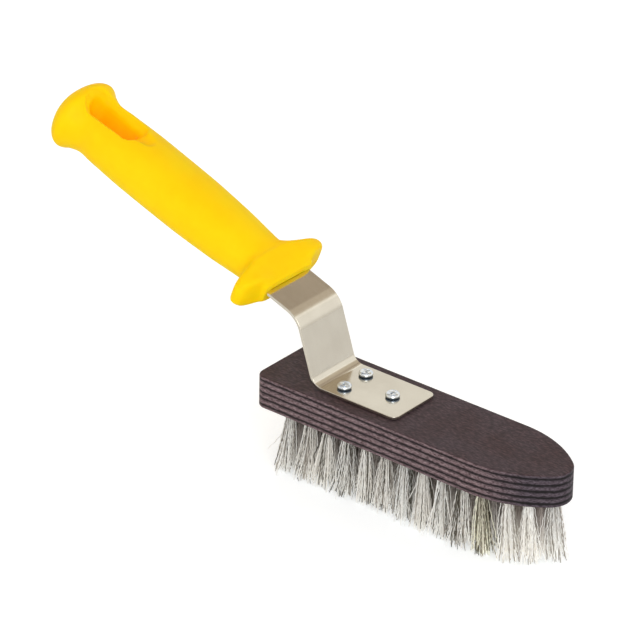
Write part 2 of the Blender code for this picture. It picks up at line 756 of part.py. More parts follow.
def hang_slot_mesh():
    """Cutter for the hanging slot: straight in the middle, opening out in a curve at both faces."""
    radius = HANG_SLOT_ROUNDING
    levels = [0.0]
    for step in range(SLOT_STEPS + 1):
        turn = HANG_SLOT_ROLL * step / SLOT_STEPS
        levels.append(HANG_SLOT_STRAIGHT + radius * math.sin(turn))
    levels.append(BULB_HEIGHT / 2 + CUT_OVERRUN)
    levels = [-level for level in levels[:0:-1]] + levels
    highest = radius * math.sin(HANG_SLOT_ROLL)
    rings = []
    for level in levels:
        depth = min(max(0.0, abs(level) - HANG_SLOT_STRAIGHT), highest)
        rings.append(slot_ring(level, radius - math.sqrt(radius ** 2 - depth ** 2)))
    return loft("hang_slot", rings)


def slot_ring(level, flare):
    """One outline of the hanging slot: round ends, the rear one rolled back by half the flare."""
    half_width = HANG_SLOT_WIDTH / 2 + flare
    straight = (HANG_SLOT_LENGTH - HANG_SLOT_WIDTH) / 2
    points = []
    for index in range(2 * ARC_STEPS):
        angle = math.pi * (index + 0.5) / ARC_STEPS
        if math.cos(angle) > 0:
            x = straight + HANG_SLOT_WIDTH / 2 * math.cos(angle)
        else:
            x = (HANG_SLOT_WIDTH + flare) / 2 * math.cos(angle) - straight
        points.append((x, half_width * math.sin(angle), level))
    return points


def scoop_mesh(name, side):
    """Cutter for the hollow in front of the slot: a ball drawn back into the slot."""
    bm = bmesh.new()
    centre = (SCOOP_REACH, 0, side * (GRIP_HEIGHT / 2 + SCOOP_RISE))
    bmesh.ops.create_uvsphere(bm, u_segments=SCOOP_STEPS, v_segments=SCOOP_STEPS // 2,
                              radius=SCOOP_RADIUS, matrix=Matrix.Translation(centre))
    for vert in bm.verts:
        if vert.co.x < SCOOP_REACH - MERGE_DISTANCE:
            vert.co.x -= SCOOP_RUN
    return mesh_from_bmesh(name, bm)


def make_handle(group, cutters, parent, material):
    """Moulded handle: winged guard, oval grip, fat butt, a socket for the strap, a hanging slot."""
    mouth_x, mouth_z = mouth_place()
    mesh = loft("handle", handle_rings())
    shade_round(mesh, math.radians(50))
    item = add_object("handle", mesh, group, parent, material)
    thick = STRAP_THICKNESS / 2 + SEAT_GAP
    shoulder = STRAP_WIDTH / 2 + SEAT_GAP
    tang = TANG_WIDTH / 2 + BARB_DEPTH + SEAT_GAP
    shoulder_end = SHOULDER_DEPTH + SEAT_GAP
    tang_end = SHOULDER_DEPTH + TANG_LENGTH + SEAT_GAP
    tools = [
        add_object("socket_mouth", box_mesh("socket_mouth", (-shoulder_end, -shoulder, -thick),
                                            (CUT_OVERRUN, shoulder, thick)), cutters, parent),
        add_object("socket_bore", box_mesh("socket_bore", (-tang_end, -tang, -thick),
                                           (-SHOULDER_DEPTH, tang, thick)), cutters, parent),
        add_object("hang_slot", hang_slot_mesh(), cutters, parent),
        add_object("upper_scoop", scoop_mesh("upper_scoop", 1), cutters, parent),
        add_object("lower_scoop", scoop_mesh("lower_scoop", -1), cutters, parent),
    ]
    slot_x = HANG_SLOT_INSET - HANDLE_LENGTH
    item.location = (mouth_x, 0, mouth_z)
    item.rotation_euler = (0, HANDLE_TILT, 0)
    for tool in tools:
        tool.location = item.location
        tool.rotation_euler = item.rotation_euler
    for tool in tools[2:]:
        tool.location.x += slot_x * math.cos(HANDLE_TILT)
        tool.location.z -= slot_x * math.sin(HANDLE_TILT)
    for tool in tools:
        cut(item, tool)


def build():
    """Make the whole brush."""
    clear_scene()
    group = new_collection("grill_brush")
    cutters = new_collection("cutters")
    parent = bpy.data.objects.new("brush_root", None)
    group.objects.link(parent)
    plastic = make_material("yellow_plastic", (255, 205, 18), 0.35, 0.0)
    steel = make_material("strap_steel", (207, 200, 187), 0.3, 1.0)
    zinc = make_material("screw_zinc", (205, 212, 220), 0.25, 1.0)
    plywood = make_material("dark_plywood", (78, 64, 62), 0.6, 0.0)
    wire = make_material("tuft_wire", (181, 173, 163), 0.35, 1.0)
    make_handle(group, cutters, parent, plastic)
    make_strap(group, cutters, parent, steel)
    make_screws(group, cutters, parent, zinc)
    make_block(group, cutters, parent, plywood)
    make_tuft_rows(group, cutters, parent, wire)


build()
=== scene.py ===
# %% [markdown]
# # A wire grill brush
#
# The real object has five kinds of piece: a yellow moulded handle, a bent steel strap, three
# cross-head screws, a pointed plywood block and about sixty tufts of crimped steel wire.
# The CAD model is loaded first and never changed. It says where everything sits, and each
# finished piece takes the place of one of its nodes.

import math
import random

import bmesh
import bpy
import numpy as np
from mathutils import Matrix, Quaternion, Vector


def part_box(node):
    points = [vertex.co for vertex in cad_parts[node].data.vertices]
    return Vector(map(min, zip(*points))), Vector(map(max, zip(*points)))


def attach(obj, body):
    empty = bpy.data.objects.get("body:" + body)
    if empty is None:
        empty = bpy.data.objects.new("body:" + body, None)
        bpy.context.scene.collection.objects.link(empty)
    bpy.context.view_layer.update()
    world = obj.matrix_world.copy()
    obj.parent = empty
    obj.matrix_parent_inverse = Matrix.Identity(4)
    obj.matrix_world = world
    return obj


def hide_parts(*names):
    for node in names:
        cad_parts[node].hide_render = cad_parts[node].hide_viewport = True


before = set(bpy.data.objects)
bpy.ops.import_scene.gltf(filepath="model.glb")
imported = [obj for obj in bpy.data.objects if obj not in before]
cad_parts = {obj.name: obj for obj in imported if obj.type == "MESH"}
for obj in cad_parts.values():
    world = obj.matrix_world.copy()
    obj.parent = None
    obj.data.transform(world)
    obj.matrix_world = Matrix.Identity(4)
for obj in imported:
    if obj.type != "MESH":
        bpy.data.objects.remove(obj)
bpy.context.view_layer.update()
print("CAD nodes:", len(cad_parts))

# %% [markdown]
# ## Small helpers
#
# Lengths are written in millimetres and turned to metres once, because a brush is read in
# millimetres. Colours are written as the hex codes that a paint shop gives, and one function
# turns them into the linear light values that Blender adds up.

# %% Lengths and colours
MM = 0.001
NEAR = 0.01 * MM
WHITE = (1.0, 1.0, 1.0, 1.0)


def hex_colour(code):
    """A hex sRGB colour as linear red, green, blue and opacity."""
    channels = []
    for start in (0, 2, 4):
        value = int(code[start:start + 2], 16) / 255
        channels.append(value / 12.92 if value <= 0.04045 else ((value + 0.055) / 1.055) ** 2.4)
    return (*channels, 1.0)


print("Middle grey in linear light:", round(hex_colour("808080")[0], 3))

# %% [markdown]
# Every finish is a small network of nodes. One helper adds a node, sets what it is told to,
# and fills its sockets: a number goes in as it is, and another node's output is linked.

# %% Adding a node
def set_inputs(tree, node, inputs):
    """Fill a node's sockets, each with a value or with a link from another node's socket."""
    for name, value in inputs.items():
        if isinstance(value, bpy.types.NodeSocket):
            tree.links.new(value, node.inputs[name])
        else:
            node.inputs[name].default_value = value


def add_node(tree, kind, inputs, **settings):
    """Add one node of a kind, with its settings and its inputs."""
    node = tree.nodes.new("ShaderNode" + kind)
    for name, value in settings.items():
        setattr(node, name, value)
    set_inputs(tree, node, inputs)
    return node


# %% [markdown]
# A few kinds of node do most of the work, so each has a short function that gives its
# output: arithmetic, a change of range, a mix of two colours, a scale of colours, noise, a
# value stored in the mesh, and small bumps.

# %% The nodes used most
def calculate(tree, operation, *terms):
    """One sum of numbers or sockets."""
    node = add_node(tree, "Math", dict(enumerate(terms)), operation=operation)
    return node.outputs["Value"]


def remap(tree, value, before, after, kind="LINEAR"):
    """Turn values that run over one range into values that run over another."""
    inputs = {"Value": value, "From Min": before[0], "From Max": before[1],
              "To Min": after[0], "To Max": after[1]}
    return add_node(tree, "MapRange", inputs, interpolation_type=kind).outputs["Result"]


def mix(tree, share, first, second, kind="MIX"):
    """Mix two colours, each a socket or linear light values."""
    inputs = {"Factor": share, "A": first, "B": second}
    return add_node(tree, "Mix", inputs, data_type="RGBA", blend_type=kind).outputs["Result"]


def colour_scale(tree, value, stops):
    """Colours along a value: each stop is a place from 0 to 1, and a hex code or light values."""
    node = add_node(tree, "ValToRGB", {"Fac": value})
    elements = node.color_ramp.elements
    while len(elements) < len(stops):
        elements.new(0.5)
    for element, (place, colour) in zip(elements, stops):
        element.position = place
        element.color = hex_colour(colour) if isinstance(colour, str) else (*colour, 1.0)
    return node.outputs["Color"]


def noise(tree, place, size, detail, roughness=0.5):
    """Random clouds. Their size is one length, or three to stretch them along an axis."""
    scales = [1 / length for length in np.broadcast_to(size, 3)]
    sized = add_node(tree, "Mapping", {"Vector": place, "Scale": scales})
    inputs = {"Vector": sized.outputs["Vector"], "Scale": 1.0, "Detail": detail,
              "Roughness": roughness}
    return add_node(tree, "TexNoise", inputs).outputs["Fac"]


def stored(tree, name, output="Fac"):
    """A value that each point of the mesh carries under a name."""
    return add_node(tree, "Attribute", {}, attribute_name=name).outputs[output]


def bumps(tree, height, strength, depth):
    """Bumps that only change how the surface shines."""
    inputs = {"Height": height, "Strength": strength, "Distance": depth}
    return add_node(tree, "Bump", inputs).outputs["Normal"]


def light_rays(tree):
    """Two switches: is this ray the camera's own, and did a mirror or glass send it on."""
    ray = add_node(tree, "LightPath", {}).outputs
    return ray["Is Camera Ray"], calculate(tree, "MAXIMUM", ray["Is Glossy Ray"],
                                           ray["Is Transmission Ray"])


def new_finish(name):
    """Start a material: gives it, its node tree and the places of points on the object."""
    finish = bpy.data.materials.new(name)
    finish.use_nodes = True
    return finish, finish.node_tree, add_node(finish.node_tree, "TexCoord", {}).outputs["Object"]


def close_finish(finish, inputs):
    """Fill the material's shader, which every new material has from the start."""
    set_inputs(finish.node_tree, finish.node_tree.nodes["Principled BSDF"], inputs)
    print("Made", finish.name)
    return finish


# %% [markdown]
# Pieces are shaped in edit mode, as by hand. An operator acts on whatever is selected, so
# everything is deselected first, and then the wanted faces, edges or points are picked by
# where they are. Each new primitive has its place put into its mesh at once, so the numbers
# in its mesh are places on the brush.

# %% Starting and picking
def clear_selection():
    """Leave edit mode and deselect every object."""
    if bpy.context.mode != "OBJECT":
        bpy.ops.object.mode_set(mode="OBJECT")
    bpy.ops.object.select_all(action="DESELECT")


def place_mesh(piece):
    """Put a piece's own place, turn and size into its mesh."""
    clear_selection()
    piece.select_set(True)
    bpy.ops.object.transform_apply(location=True, rotation=True, scale=True)


def name_piece(name, size=(1.0, 1.0, 1.0)):
    """Name and size the primitive that was just added, and put its place into its mesh."""
    piece = bpy.context.active_object
    piece.name = piece.data.name = name
    piece.scale = size
    place_mesh(piece)
    return piece


def pick(piece, kind, wanted):
    """In edit mode, select only the VERT, EDGE or FACE items for which wanted(item) is true."""
    bpy.ops.mesh.select_mode(type=kind)
    bpy.ops.mesh.select_all(action="DESELECT")
    bm = bmesh.from_edit_mesh(piece.data)
    for item in {"VERT": bm.verts, "EDGE": bm.edges, "FACE": bm.faces}[kind]:
        if wanted(item):
            item.select_set(True)
    bm.select_flush_mode()
    bmesh.update_edit_mesh(piece.data)


def middle(edge):
    """Middle point of an edge."""
    return (edge.verts[0].co + edge.verts[1].co) / 2


# %% [markdown]
# The rest are the steps that come back on every piece: draw something on, cut rings across,
# move points by a formula, apply a modifier, cut with another piece, and finish.

# %% Shaping and finishing
def draw_on(x=0.0, y=0.0, z=0.0):
    """In edit mode, extrude what is picked by one step."""
    bpy.ops.mesh.extrude_region_move(TRANSFORM_OT_translate={"value": (x, y, z)})


def slice_across(piece, places, axis):
    """Cut new rings of points across a piece at each place along an axis."""
    bpy.ops.object.mode_set(mode="EDIT")
    normal = [0.0, 0.0, 0.0]
    normal[axis] = 1.0
    for place in places:
        bpy.ops.mesh.select_all(action="SELECT")
        bpy.ops.mesh.bisect(plane_co=[place * value for value in normal], plane_no=normal)
    bpy.ops.object.mode_set(mode="OBJECT")


def reshape(piece, point_of):
    """Move every point of a mesh to where point_of(x, y, z) puts it."""
    for vert in piece.data.vertices:
        vert.co = point_of(*vert.co)


def apply_modifier(piece, kind, **settings):
    """Add one modifier, set it and apply it to the mesh."""
    bpy.context.view_layer.objects.active = piece
    modifier = piece.modifiers.new(kind.title(), kind)
    for name, value in settings.items():
        setattr(modifier, name, value)
    bpy.ops.object.modifier_apply(modifier=modifier.name)


def round_edges(piece, width, segments, above):
    """Bevel the edges that turn by more than an angle in degrees."""
    apply_modifier(piece, "BEVEL", width=width, segments=segments, limit_method="ANGLE",
                   angle_limit=math.radians(above))


def cut_away(piece, cutter):
    """Cut one piece with another and delete the cutter."""
    apply_modifier(piece, "BOOLEAN", operation="DIFFERENCE", solver="EXACT", object=cutter)
    bpy.data.objects.remove(cutter, do_unlink=True)


def point_outwards(piece):
    """Merge doubled points, then turn all faces outwards."""
    clear_selection()
    bpy.context.view_layer.objects.active = piece
    bpy.ops.object.mode_set(mode="EDIT")
    bpy.ops.mesh.select_all(action="SELECT")
    bpy.ops.mesh.remove_doubles(threshold=0.002 * MM)
    bpy.ops.mesh.normals_make_consistent(inside=False)
    bpy.ops.object.mode_set(mode="OBJECT")


def paint_points(piece, name, value_of):
    """Store one number per point, which value_of(x, y, z) gives, for a finish to read."""
    values = [value_of(*vert.co) for vert in piece.data.vertices]
    piece.data.attributes.new(name, "FLOAT", "POINT").data.foreach_set("value", values)


def finish_piece(piece, material, nodes, smooth_below=None):
    """Shade a piece, give it its finish, and let it stand for its CAD nodes."""
    clear_selection()
    piece.select_set(True)
    bpy.context.view_layer.objects.active = piece
    if smooth_below is None:
        bpy.ops.object.shade_smooth()
    else:
        bpy.ops.object.shade_smooth_by_angle(angle=math.radians(smooth_below))
        apply_modifier(piece, "WEIGHTED_NORMAL", keep_sharp=True)
    piece.data.materials.clear()
    piece.data.materials.append(material)
    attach(piece, "root")
    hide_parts(*nodes)
    print(piece.name, "faces:", len(piece.data.polygons))


# %% [markdown]
# ## Where the camera stands
#
# The photograph looks down on the brush from in front of its nose and a little to its right
# side, through a long lens. A long lens far away keeps parallel edges nearly parallel, as
# they are in the photograph. The small roll is the tilt of the picture itself. A camera
# looks along its own minus Z, so its Z axis is turned to point backwards.

# %% Camera
CAMERA_TURN = math.radians(38.559)
CAMERA_RISE = math.radians(28.207)
CAMERA_ROLL = math.radians(1.057)
CAMERA_PLACE = Vector((0.97672, -1.29704, 0.95835))
CAMERA_LENS = 252.2
SENSOR_WIDTH = 36.0


def stand(name, data, place, backwards, roll=0.0):
    """Put a camera or a lamp at a place, with its back towards a direction."""
    item = bpy.data.objects.new(name, data)
    bpy.context.scene.collection.objects.link(item)
    item.location = place
    item.rotation_mode = "QUATERNION"
    item.rotation_quaternion = (backwards.to_track_quat("Z", "Y")
                                @ Quaternion((0.0, 0.0, 1.0), roll))
    return item


camera_data = bpy.data.cameras.new("photo_camera")
camera_data.sensor_width = SENSOR_WIDTH
camera_data.lens = CAMERA_LENS
camera_back = Vector((math.sin(CAMERA_TURN) * math.cos(CAMERA_RISE),
                      -math.cos(CAMERA_TURN) * math.cos(CAMERA_RISE), math.sin(CAMERA_RISE)))
bpy.context.scene.camera = stand("photo_camera", camera_data, CAMERA_PLACE, camera_back,
                                 CAMERA_ROLL)
print("Camera is", round(CAMERA_PLACE.length, 2), "m from the brush")

# %% [markdown]
# ## Floor, room and light
#
# The brush stands on its wire tips on a pale paper floor. The paper is a little cool, which
# cancels the warmth of the light that falls on it. Under this even light it would come out
# light grey, so it shines by itself for the camera's own rays, and much less in mirrors. The
# brush's soft shadow stays on it.

# %% Floor
FLOOR_HALF = 6.0
FLOOR_LIFT = 0.38
MIRRORED_LIFT_SHARE = 0.22
PAPER_GRAIN = 100 * MM / 3

clear_selection()
bpy.ops.mesh.primitive_plane_add(size=2 * FLOOR_HALF)
floor = name_piece("studio_floor")
paper, tree, place = new_finish("white_paper_sweep")
grain = noise(tree, place, PAPER_GRAIN, 2.0)
camera_ray, mirrored = light_rays(tree)
seen = calculate(tree, "MULTIPLY_ADD", mirrored, MIRRORED_LIFT_SHARE, camera_ray)
close_finish(paper, {
    "Base Color": colour_scale(tree, grain, [(0.0, "E8EEF1"), (1.0, "EAF0F3")]),
    "Roughness": 0.9, "Specular IOR Level": 0.1, "Emission Color": WHITE,
    "Emission Strength": calculate(tree, "MULTIPLY", seen, FLOOR_LIFT)})
floor.data.materials.append(paper)
print("Floor is", 2 * FLOOR_HALF, "m square")

# %% [markdown]
# The room is painted by direction, and three kinds of ray see three different rooms. Matt
# surfaces get soft light: even low down, a little stronger from the rear, duller and warmer
# from above. Shiny metal sees more: white walls with a bright strip under the ceiling, a
# brighter window at the nose's end, a dull warm panel overhead and the dim end of the room
# behind the camera. Those make the steps of tone along the bent strap. The camera itself
# sees plain white.

# %% Room
ROOM_STRENGTH = 0.84
# up the walls, from the brush's own level to overhead
WALL_LIGHT = [(0.00, (0.93, 0.91, 0.88)), (0.12, (0.97, 0.95, 0.92)), (0.40, (1.02, 1.00, 0.97)),
              (0.50, (1.04, 1.02, 0.98)), (0.55, (1.50, 1.48, 1.44)), (0.60, (1.50, 1.48, 1.44)),
              (0.625, (0.74, 0.65, 0.53)), (0.80, (0.74, 0.65, 0.54)), (0.88, (1.12, 1.10, 1.08))]
SOFT_LIGHT = [(0.00, (1.08, 1.08, 1.08)), (0.45, (1.08, 1.08, 1.08)),
              (0.70, (0.78, 0.68, 0.63)), (1.00, (0.78, 0.68, 0.63))]
REAR_TO_NOSE_LEVEL = (1.18, 0.96)
WINDOW_LIGHT = (1.25, 1.235, 1.21, 1.0)
PANEL_LIGHT = (0.54, 0.455, 0.365, 1.0)
DIM_LIGHT = (0.05, 0.05, 0.06, 1.0)
# lower edge, upper edge and side edge, each from where the patch starts to where it is full
WINDOW_EDGES = [(0.02, 0.22), (0.60, 0.50), (0.30, 0.60)]
PANEL_EDGES = [(0.66, 0.69), (0.88, 0.80), (0.06, -0.06)]
DIM_END = (0.549, -0.689, 0.473)
DIM_EDGE = (0.84, 0.93)
DIM_SHARE = 0.45


def wall_patch(tree, split, edges):
    """How far a direction lies inside a soft-edged patch of wall."""
    low, high, side = [remap(tree, split[axis], edge, (0.0, 1.0), "SMOOTHSTEP")
                       for axis, edge in zip("ZZX", edges)]
    return calculate(tree, "MULTIPLY", calculate(tree, "MULTIPLY", low, high), side)


room = bpy.data.worlds.new("white_room")
room.use_nodes = True
tree = room.node_tree
direction = add_node(tree, "TexCoord", {}).outputs["Generated"]
split = add_node(tree, "SeparateXYZ", {"Vector": direction}).outputs
towards = add_node(tree, "VectorMath", {0: direction, 1: DIM_END}, operation="DOT_PRODUCT")
dimness = remap(tree, towards.outputs["Value"], DIM_EDGE, (0.0, DIM_SHARE), "SMOOTHSTEP")
walls = colour_scale(tree, split["Z"], WALL_LIGHT)
walls = mix(tree, wall_patch(tree, split, WINDOW_EDGES), walls, WINDOW_LIGHT)
walls = mix(tree, wall_patch(tree, split, PANEL_EDGES), walls, PANEL_LIGHT)
walls = mix(tree, dimness, walls, DIM_LIGHT)
endways = remap(tree, split["X"], (-1.0, 1.0), REAR_TO_NOSE_LEVEL)
soft = add_node(tree, "VectorMath", {0: colour_scale(tree, split["Z"], SOFT_LIGHT),
                                     "Scale": endways}, operation="SCALE")
camera_ray, mirrored = light_rays(tree)
shown = mix(tree, mirrored, mix(tree, camera_ray, soft.outputs["Vector"], WHITE), walls)
level = remap(tree, camera_ray, (0.0, 1.0), (ROOM_STRENGTH, 1.0))
set_inputs(tree, tree.nodes["Background"], {"Color": shown, "Strength": level})
bpy.context.scene.world = room
print("Room strength:", ROOM_STRENGTH)

# %% [markdown]
# One large soft lamp stands above the camera. It is wide, so its shadow has no edge and
# falls behind the brush, and the sides that face the camera are the brightest.

# %% Lamp
LAMP_PLACE = Vector((1.2, -1.3, 0.9))
LAMP_AIM = Vector((-0.05, 0.0, 0.06))
LAMP_SIZE = 1.4
LAMP_POWER = 17.0

lamp_data = bpy.data.lights.new("soft_lamp", "AREA")
lamp_data.shape = "DISK"
lamp_data.size = LAMP_SIZE
lamp_data.energy = LAMP_POWER
stand("soft_lamp", lamp_data, LAMP_PLACE, LAMP_PLACE - LAMP_AIM)
bpy.context.scene.view_settings.view_transform = "Standard"
print("Lamp stands", round(LAMP_PLACE.length, 2), "m away")

# %% [markdown]
# ## The yellow plastic
#
# The handle is polypropylene, injection moulded and polished a little by the mould. The
# plastic is dyed through, so its colour is even, and light goes a short way into it, which
# softens the shading. What the eye gets is a saturated yellow with a broad satin sheen, and
# very faint clouds where the melt flowed. Deep in the slot it gets a painted orange glow and
# painted shade, and the mesh says where. The skin's texture is drawn coarser than the real
# one, so that it shows.

# %% Moulded polypropylene
PAINTED_SLOT_GLOW = 0.10


def moulded_polypropylene():
    """Satin yellow plastic: flow clouds, a fine skin texture, soft light inside, painted glow and
    shade.
    """
    finish, tree, place = new_finish("moulded_polypropylene")
    clouds = noise(tree, place, 22 * MM, 3.0, 0.55)
    skin = colour_scale(tree, clouds, [(0.35, "FFCF09"), (0.65, "FFD40E")])
    # the deeper orange and the orange glow, mixed in by the stored value, are painted shade and
    # painted light
    deep = colour_scale(tree, clouds, [(0.35, "FFC600"), (0.65, "FFCB00")])
    depth = stored(tree, "painted_slot_and_valley_shade")
    rubbed = noise(tree, place, 6 * MM, 4.0)
    texture = noise(tree, place, 0.7 * MM, 2.0)
    return close_finish(finish, {
        "Base Color": mix(tree, depth, skin, deep),
        "Emission Color": hex_colour("FF7800"),
        "Emission Strength": calculate(tree, "MULTIPLY", depth, PAINTED_SLOT_GLOW),
        "Roughness": remap(tree, rubbed, (0.3, 0.7), (0.38, 0.50)),
        "Normal": bumps(tree, texture, 0.05, 0.05 * MM),
        "IOR": 1.49, "Specular IOR Level": 0.05,
        "Subsurface Weight": 0.5, "Subsurface Radius": (1.0, 0.4, 0.08),
        "Subsurface Scale": 5.0 * MM})


yellow_plastic = moulded_polypropylene()

# %% [markdown]
# ## The strap's steel
#
# The strap is cold-rolled steel with a thin bright plating. Rolling leaves very fine lines
# along its length, and plating leaves them satin rather than mirror-like. The strap runs in
# the XZ plane all the way, so a pattern that changes quickly only across Y gives lines that
# follow every bend. Real rolling lines are too fine to show from here, so they are drawn
# coarser, about a third of a millimetre apart.

# %% Plated rolled steel
def plated_rolled_steel():
    """Warm plated steel with fine lines along the strap."""
    finish, tree, place = new_finish("plated_rolled_steel")
    lines = noise(tree, place, (40 * MM, 0.35 * MM, 40 * MM), 3.0)
    cloud = noise(tree, place, 14 * MM, 3.0)
    return close_finish(finish, {
        "Base Color": colour_scale(tree, cloud, [(0.3, "D6CFC0"), (0.7, "E0DACB")]),
        "Metallic": 1.0, "Roughness": remap(tree, lines, (0.3, 0.7), (0.12, 0.19)),
        "Normal": bumps(tree, lines, 0.04, 0.02 * MM)})


strap_steel = plated_rolled_steel()

# %% [markdown]
# ## The screws' zinc
#
# The screws are steel with bright zinc plating. Zinc is bluer and brighter than the strap,
# and its passivation leaves faint blue and straw patches. The cross recess and the foot of
# the upright rim are darkened with painted shade, and the screw's mesh stores where.

# %% Bright zinc
def bright_zinc():
    """Bluish bright zinc with faint patches, and painted shade where the mesh says so."""
    finish, tree, place = new_finish("bright_zinc_plating")
    patches = noise(tree, place, 1.6 * MM, 2.0)
    clean = colour_scale(tree, patches, [(0.35, "DCE6F2"), (0.55, "EEF2F4"), (0.75, "EDEBDD")])
    # the dark blue-grey mixed in by the stored value is painted shade
    return close_finish(finish, {
        "Base Color": mix(tree, stored(tree, "painted_shade"), clean, hex_colour("3E5068")),
        "Metallic": 1.0, "Roughness": remap(tree, patches, (0.0, 1.0), (0.16, 0.30))})


screw_zinc = bright_zinc()

# %% [markdown]
# ## The stained plywood
#
# The block is birch plywood that was stained nearly black-brown and lacquered thinly. Its
# broad faces show fine dark grain along the block, drawn a little coarser than real fibres.
# Its sides show the plies on edge: pale plies whose fibres lie along the side, and dark
# bands where fibres stand end-on, drink the stain and meet the glue. The bands follow the
# height alone, bent a little by noise, and the face normal decides which of the two patterns
# shows. Round the nose the sides are darkened with painted shade.

# %% Stained plywood
PLY_FIRST = 1.6 * MM
PLY_PITCH = 2.87 * MM
PLY_WAVER = 0.45 * MM
PLY_COLOURS = [(0.00, "9A8688"), (0.24, "867477"), (0.34, "615255"), (0.42, "241A1D"),
               (0.58, "241A1D"), (0.66, "5C4E51"), (0.78, "7D6D70"), (1.00, "9A8688")]
block_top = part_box("brush_block")[1].z


def stained_plywood():
    """Dark stained plywood: grain on the broad faces, plies on the sides."""
    finish, tree, place = new_finish("stained_birch_plywood")
    split = add_node(tree, "SeparateXYZ", {"Vector": place}).outputs
    # broad faces: long fibres and slow blotches of stain
    fibres = noise(tree, place, (2.2 * MM, 0.8 * MM, 2.2 * MM), 4.0, 0.6)
    grain = colour_scale(tree, fibres, [(0.34, "31272A"), (0.50, "43373C"), (0.68, "5A4A4F")])
    stain = colour_scale(tree, noise(tree, place, 16 * MM, 3.0),
                         [(0.35, "FFFFFF"), (0.70, "EAD6CE")])
    broad = mix(tree, 1.0, grain, stain, "MULTIPLY")
    # sides: bands by the depth below the top
    waver = noise(tree, place, (4.5 * MM, 4.5 * MM, 1.5 * MM), 3.0)
    bend = remap(tree, waver, (0.0, 1.0), (-PLY_WAVER, PLY_WAVER))
    depth = calculate(tree, "SUBTRACT", block_top - PLY_FIRST + PLY_PITCH / 2,
                      calculate(tree, "ADD", split["Z"], bend))
    band = calculate(tree, "FRACT", calculate(tree, "DIVIDE", depth, PLY_PITCH))
    ends = noise(tree, place, (1.5 * MM, 1.5 * MM, 0.35 * MM), 4.0, 0.65)
    speckle = colour_scale(tree, ends, [(0.36, "6A5E62"), (0.50, "CDC4C6"), (0.64, "FFFFFF")])
    side = mix(tree, 1.0, colour_scale(tree, band, PLY_COLOURS), speckle, "MULTIPLY")
    # painted shade: the sides darken towards the nose
    nose_painted_shade = remap(tree, split["X"], (42 * MM, 62 * MM), (0.0, 1.0))
    side = mix(tree, nose_painted_shade, side, hex_colour("ABB3C0"), "MULTIPLY")
    # the face normal picks the pattern
    normal = add_node(tree, "NewGeometry", {}).outputs["True Normal"]
    upright = add_node(tree, "SeparateXYZ", {"Vector": normal}).outputs["Z"]
    level = remap(tree, calculate(tree, "ABSOLUTE", upright), (0.35, 0.8), (0.0, 1.0))
    return close_finish(finish, {
        "Base Color": mix(tree, level, side, broad),
        "Roughness": remap(tree, fibres, (0.0, 1.0), (0.46, 0.64)), "Specular IOR Level": 0.22,
        "Normal": bumps(tree, calculate(tree, "ADD", fibres, ends), 0.25, 0.12 * MM)})


dark_plywood = stained_plywood()
print("Plies every", PLY_PITCH / MM, "mm")

# %% [markdown]
# ## The wire
#
# The tufts are flat tempered steel wire. It is bare and a little oxidised, so it is a warm
# grey, and no two wires are the same tone. Each wire carries its own tone, with painted shade
# on the inner and rear tufts and painted light on the nose tufts mixed in, as an attribute of
# the mesh, and the finish multiplies the steel's colour by it. Loose tips catch the light
# from all sides and nearly fade into the white, so a little light is added towards them.

# %% Tempered wire
TIP_SPARKLE = 0.22
SPARKLE_HEIGHT = 26 * MM


def tempered_wire():
    """Bare crimped wire whose tone changes from wire to wire."""
    finish, tree, place = new_finish("tempered_flat_wire")
    stains = noise(tree, place, 2.5 * MM, 2.0)
    steel = colour_scale(tree, stains, [(0.3, "ECEAE8"), (0.7, "FCFDFF")])
    toned_and_shaded = mix(tree, 1.0, steel, stored(tree, "wire_tone_and_shade", "Color"), "MULTIPLY")
    height = add_node(tree, "SeparateXYZ", {"Vector": place}).outputs["Z"]
    return close_finish(finish, {
        "Base Color": toned_and_shaded, "Metallic": 0.3, "Emission Color": toned_and_shaded,
        "Emission Strength": remap(tree, height, (SPARKLE_HEIGHT, 0.0), (0.0, TIP_SPARKLE)),
        "Roughness": remap(tree, stains, (0.0, 1.0), (0.26, 0.42))})


tuft_wire = tempered_wire()

# %% [markdown]
# ## The handle
#
# The handle is one moulding: a small mouth round the strap, a thick winged guard that keeps
# the hand off the heat, an oval grip that swells to the palm, and a fat butt with a hanging
# slot. It could be sculpted, but its shape is easiest to state as cross-sections. So a
# cylinder is cut into rings in edit mode, and every ring takes the width, height and
# roundness that the handle has at that place. A few sizes drive all the cross-sections, and
# shares say how far each station has come from one size to the next.

# %% Handle sizes
HANDLE_TILT = math.radians(20.0)
MOUTH_CENTRE = Vector((-75.0 * MM, 0.0, 80.75 * MM))
HANDLE_LENGTH = 130.0 * MM
GUARD_LENGTH = 16.0 * MM
NECK_PLACE = 111.0 * MM
BULB_PLACE = 121.1 * MM
WING_ROOT = 14.0 * MM
WING_FALLOFF = 4
GRIP_ROUNDNESS = 2.25
# in millimetres: half width, rise and drop, where the wing has only a rise and a drop
MOUTH_SIZE = np.array((15.5, 4.4, 5.5))
GUARD_SIZE = np.array((27.8, 10.2, 9.1))
WING_SIZE = np.array((8.8, 7.4))
# in millimetres: half width and half height
WAIST_SIZE = np.array((12.35, 9.9))
GRIP_SIZE = np.array((15.1, 12.4))
# in millimetres: place, half width and half height of neck, flank and bulb
BUTT_STATIONS = [(111.0, 13.6, 11.95), (117.0, 15.6, 13.2), (121.1, 18.0, 15.2)]
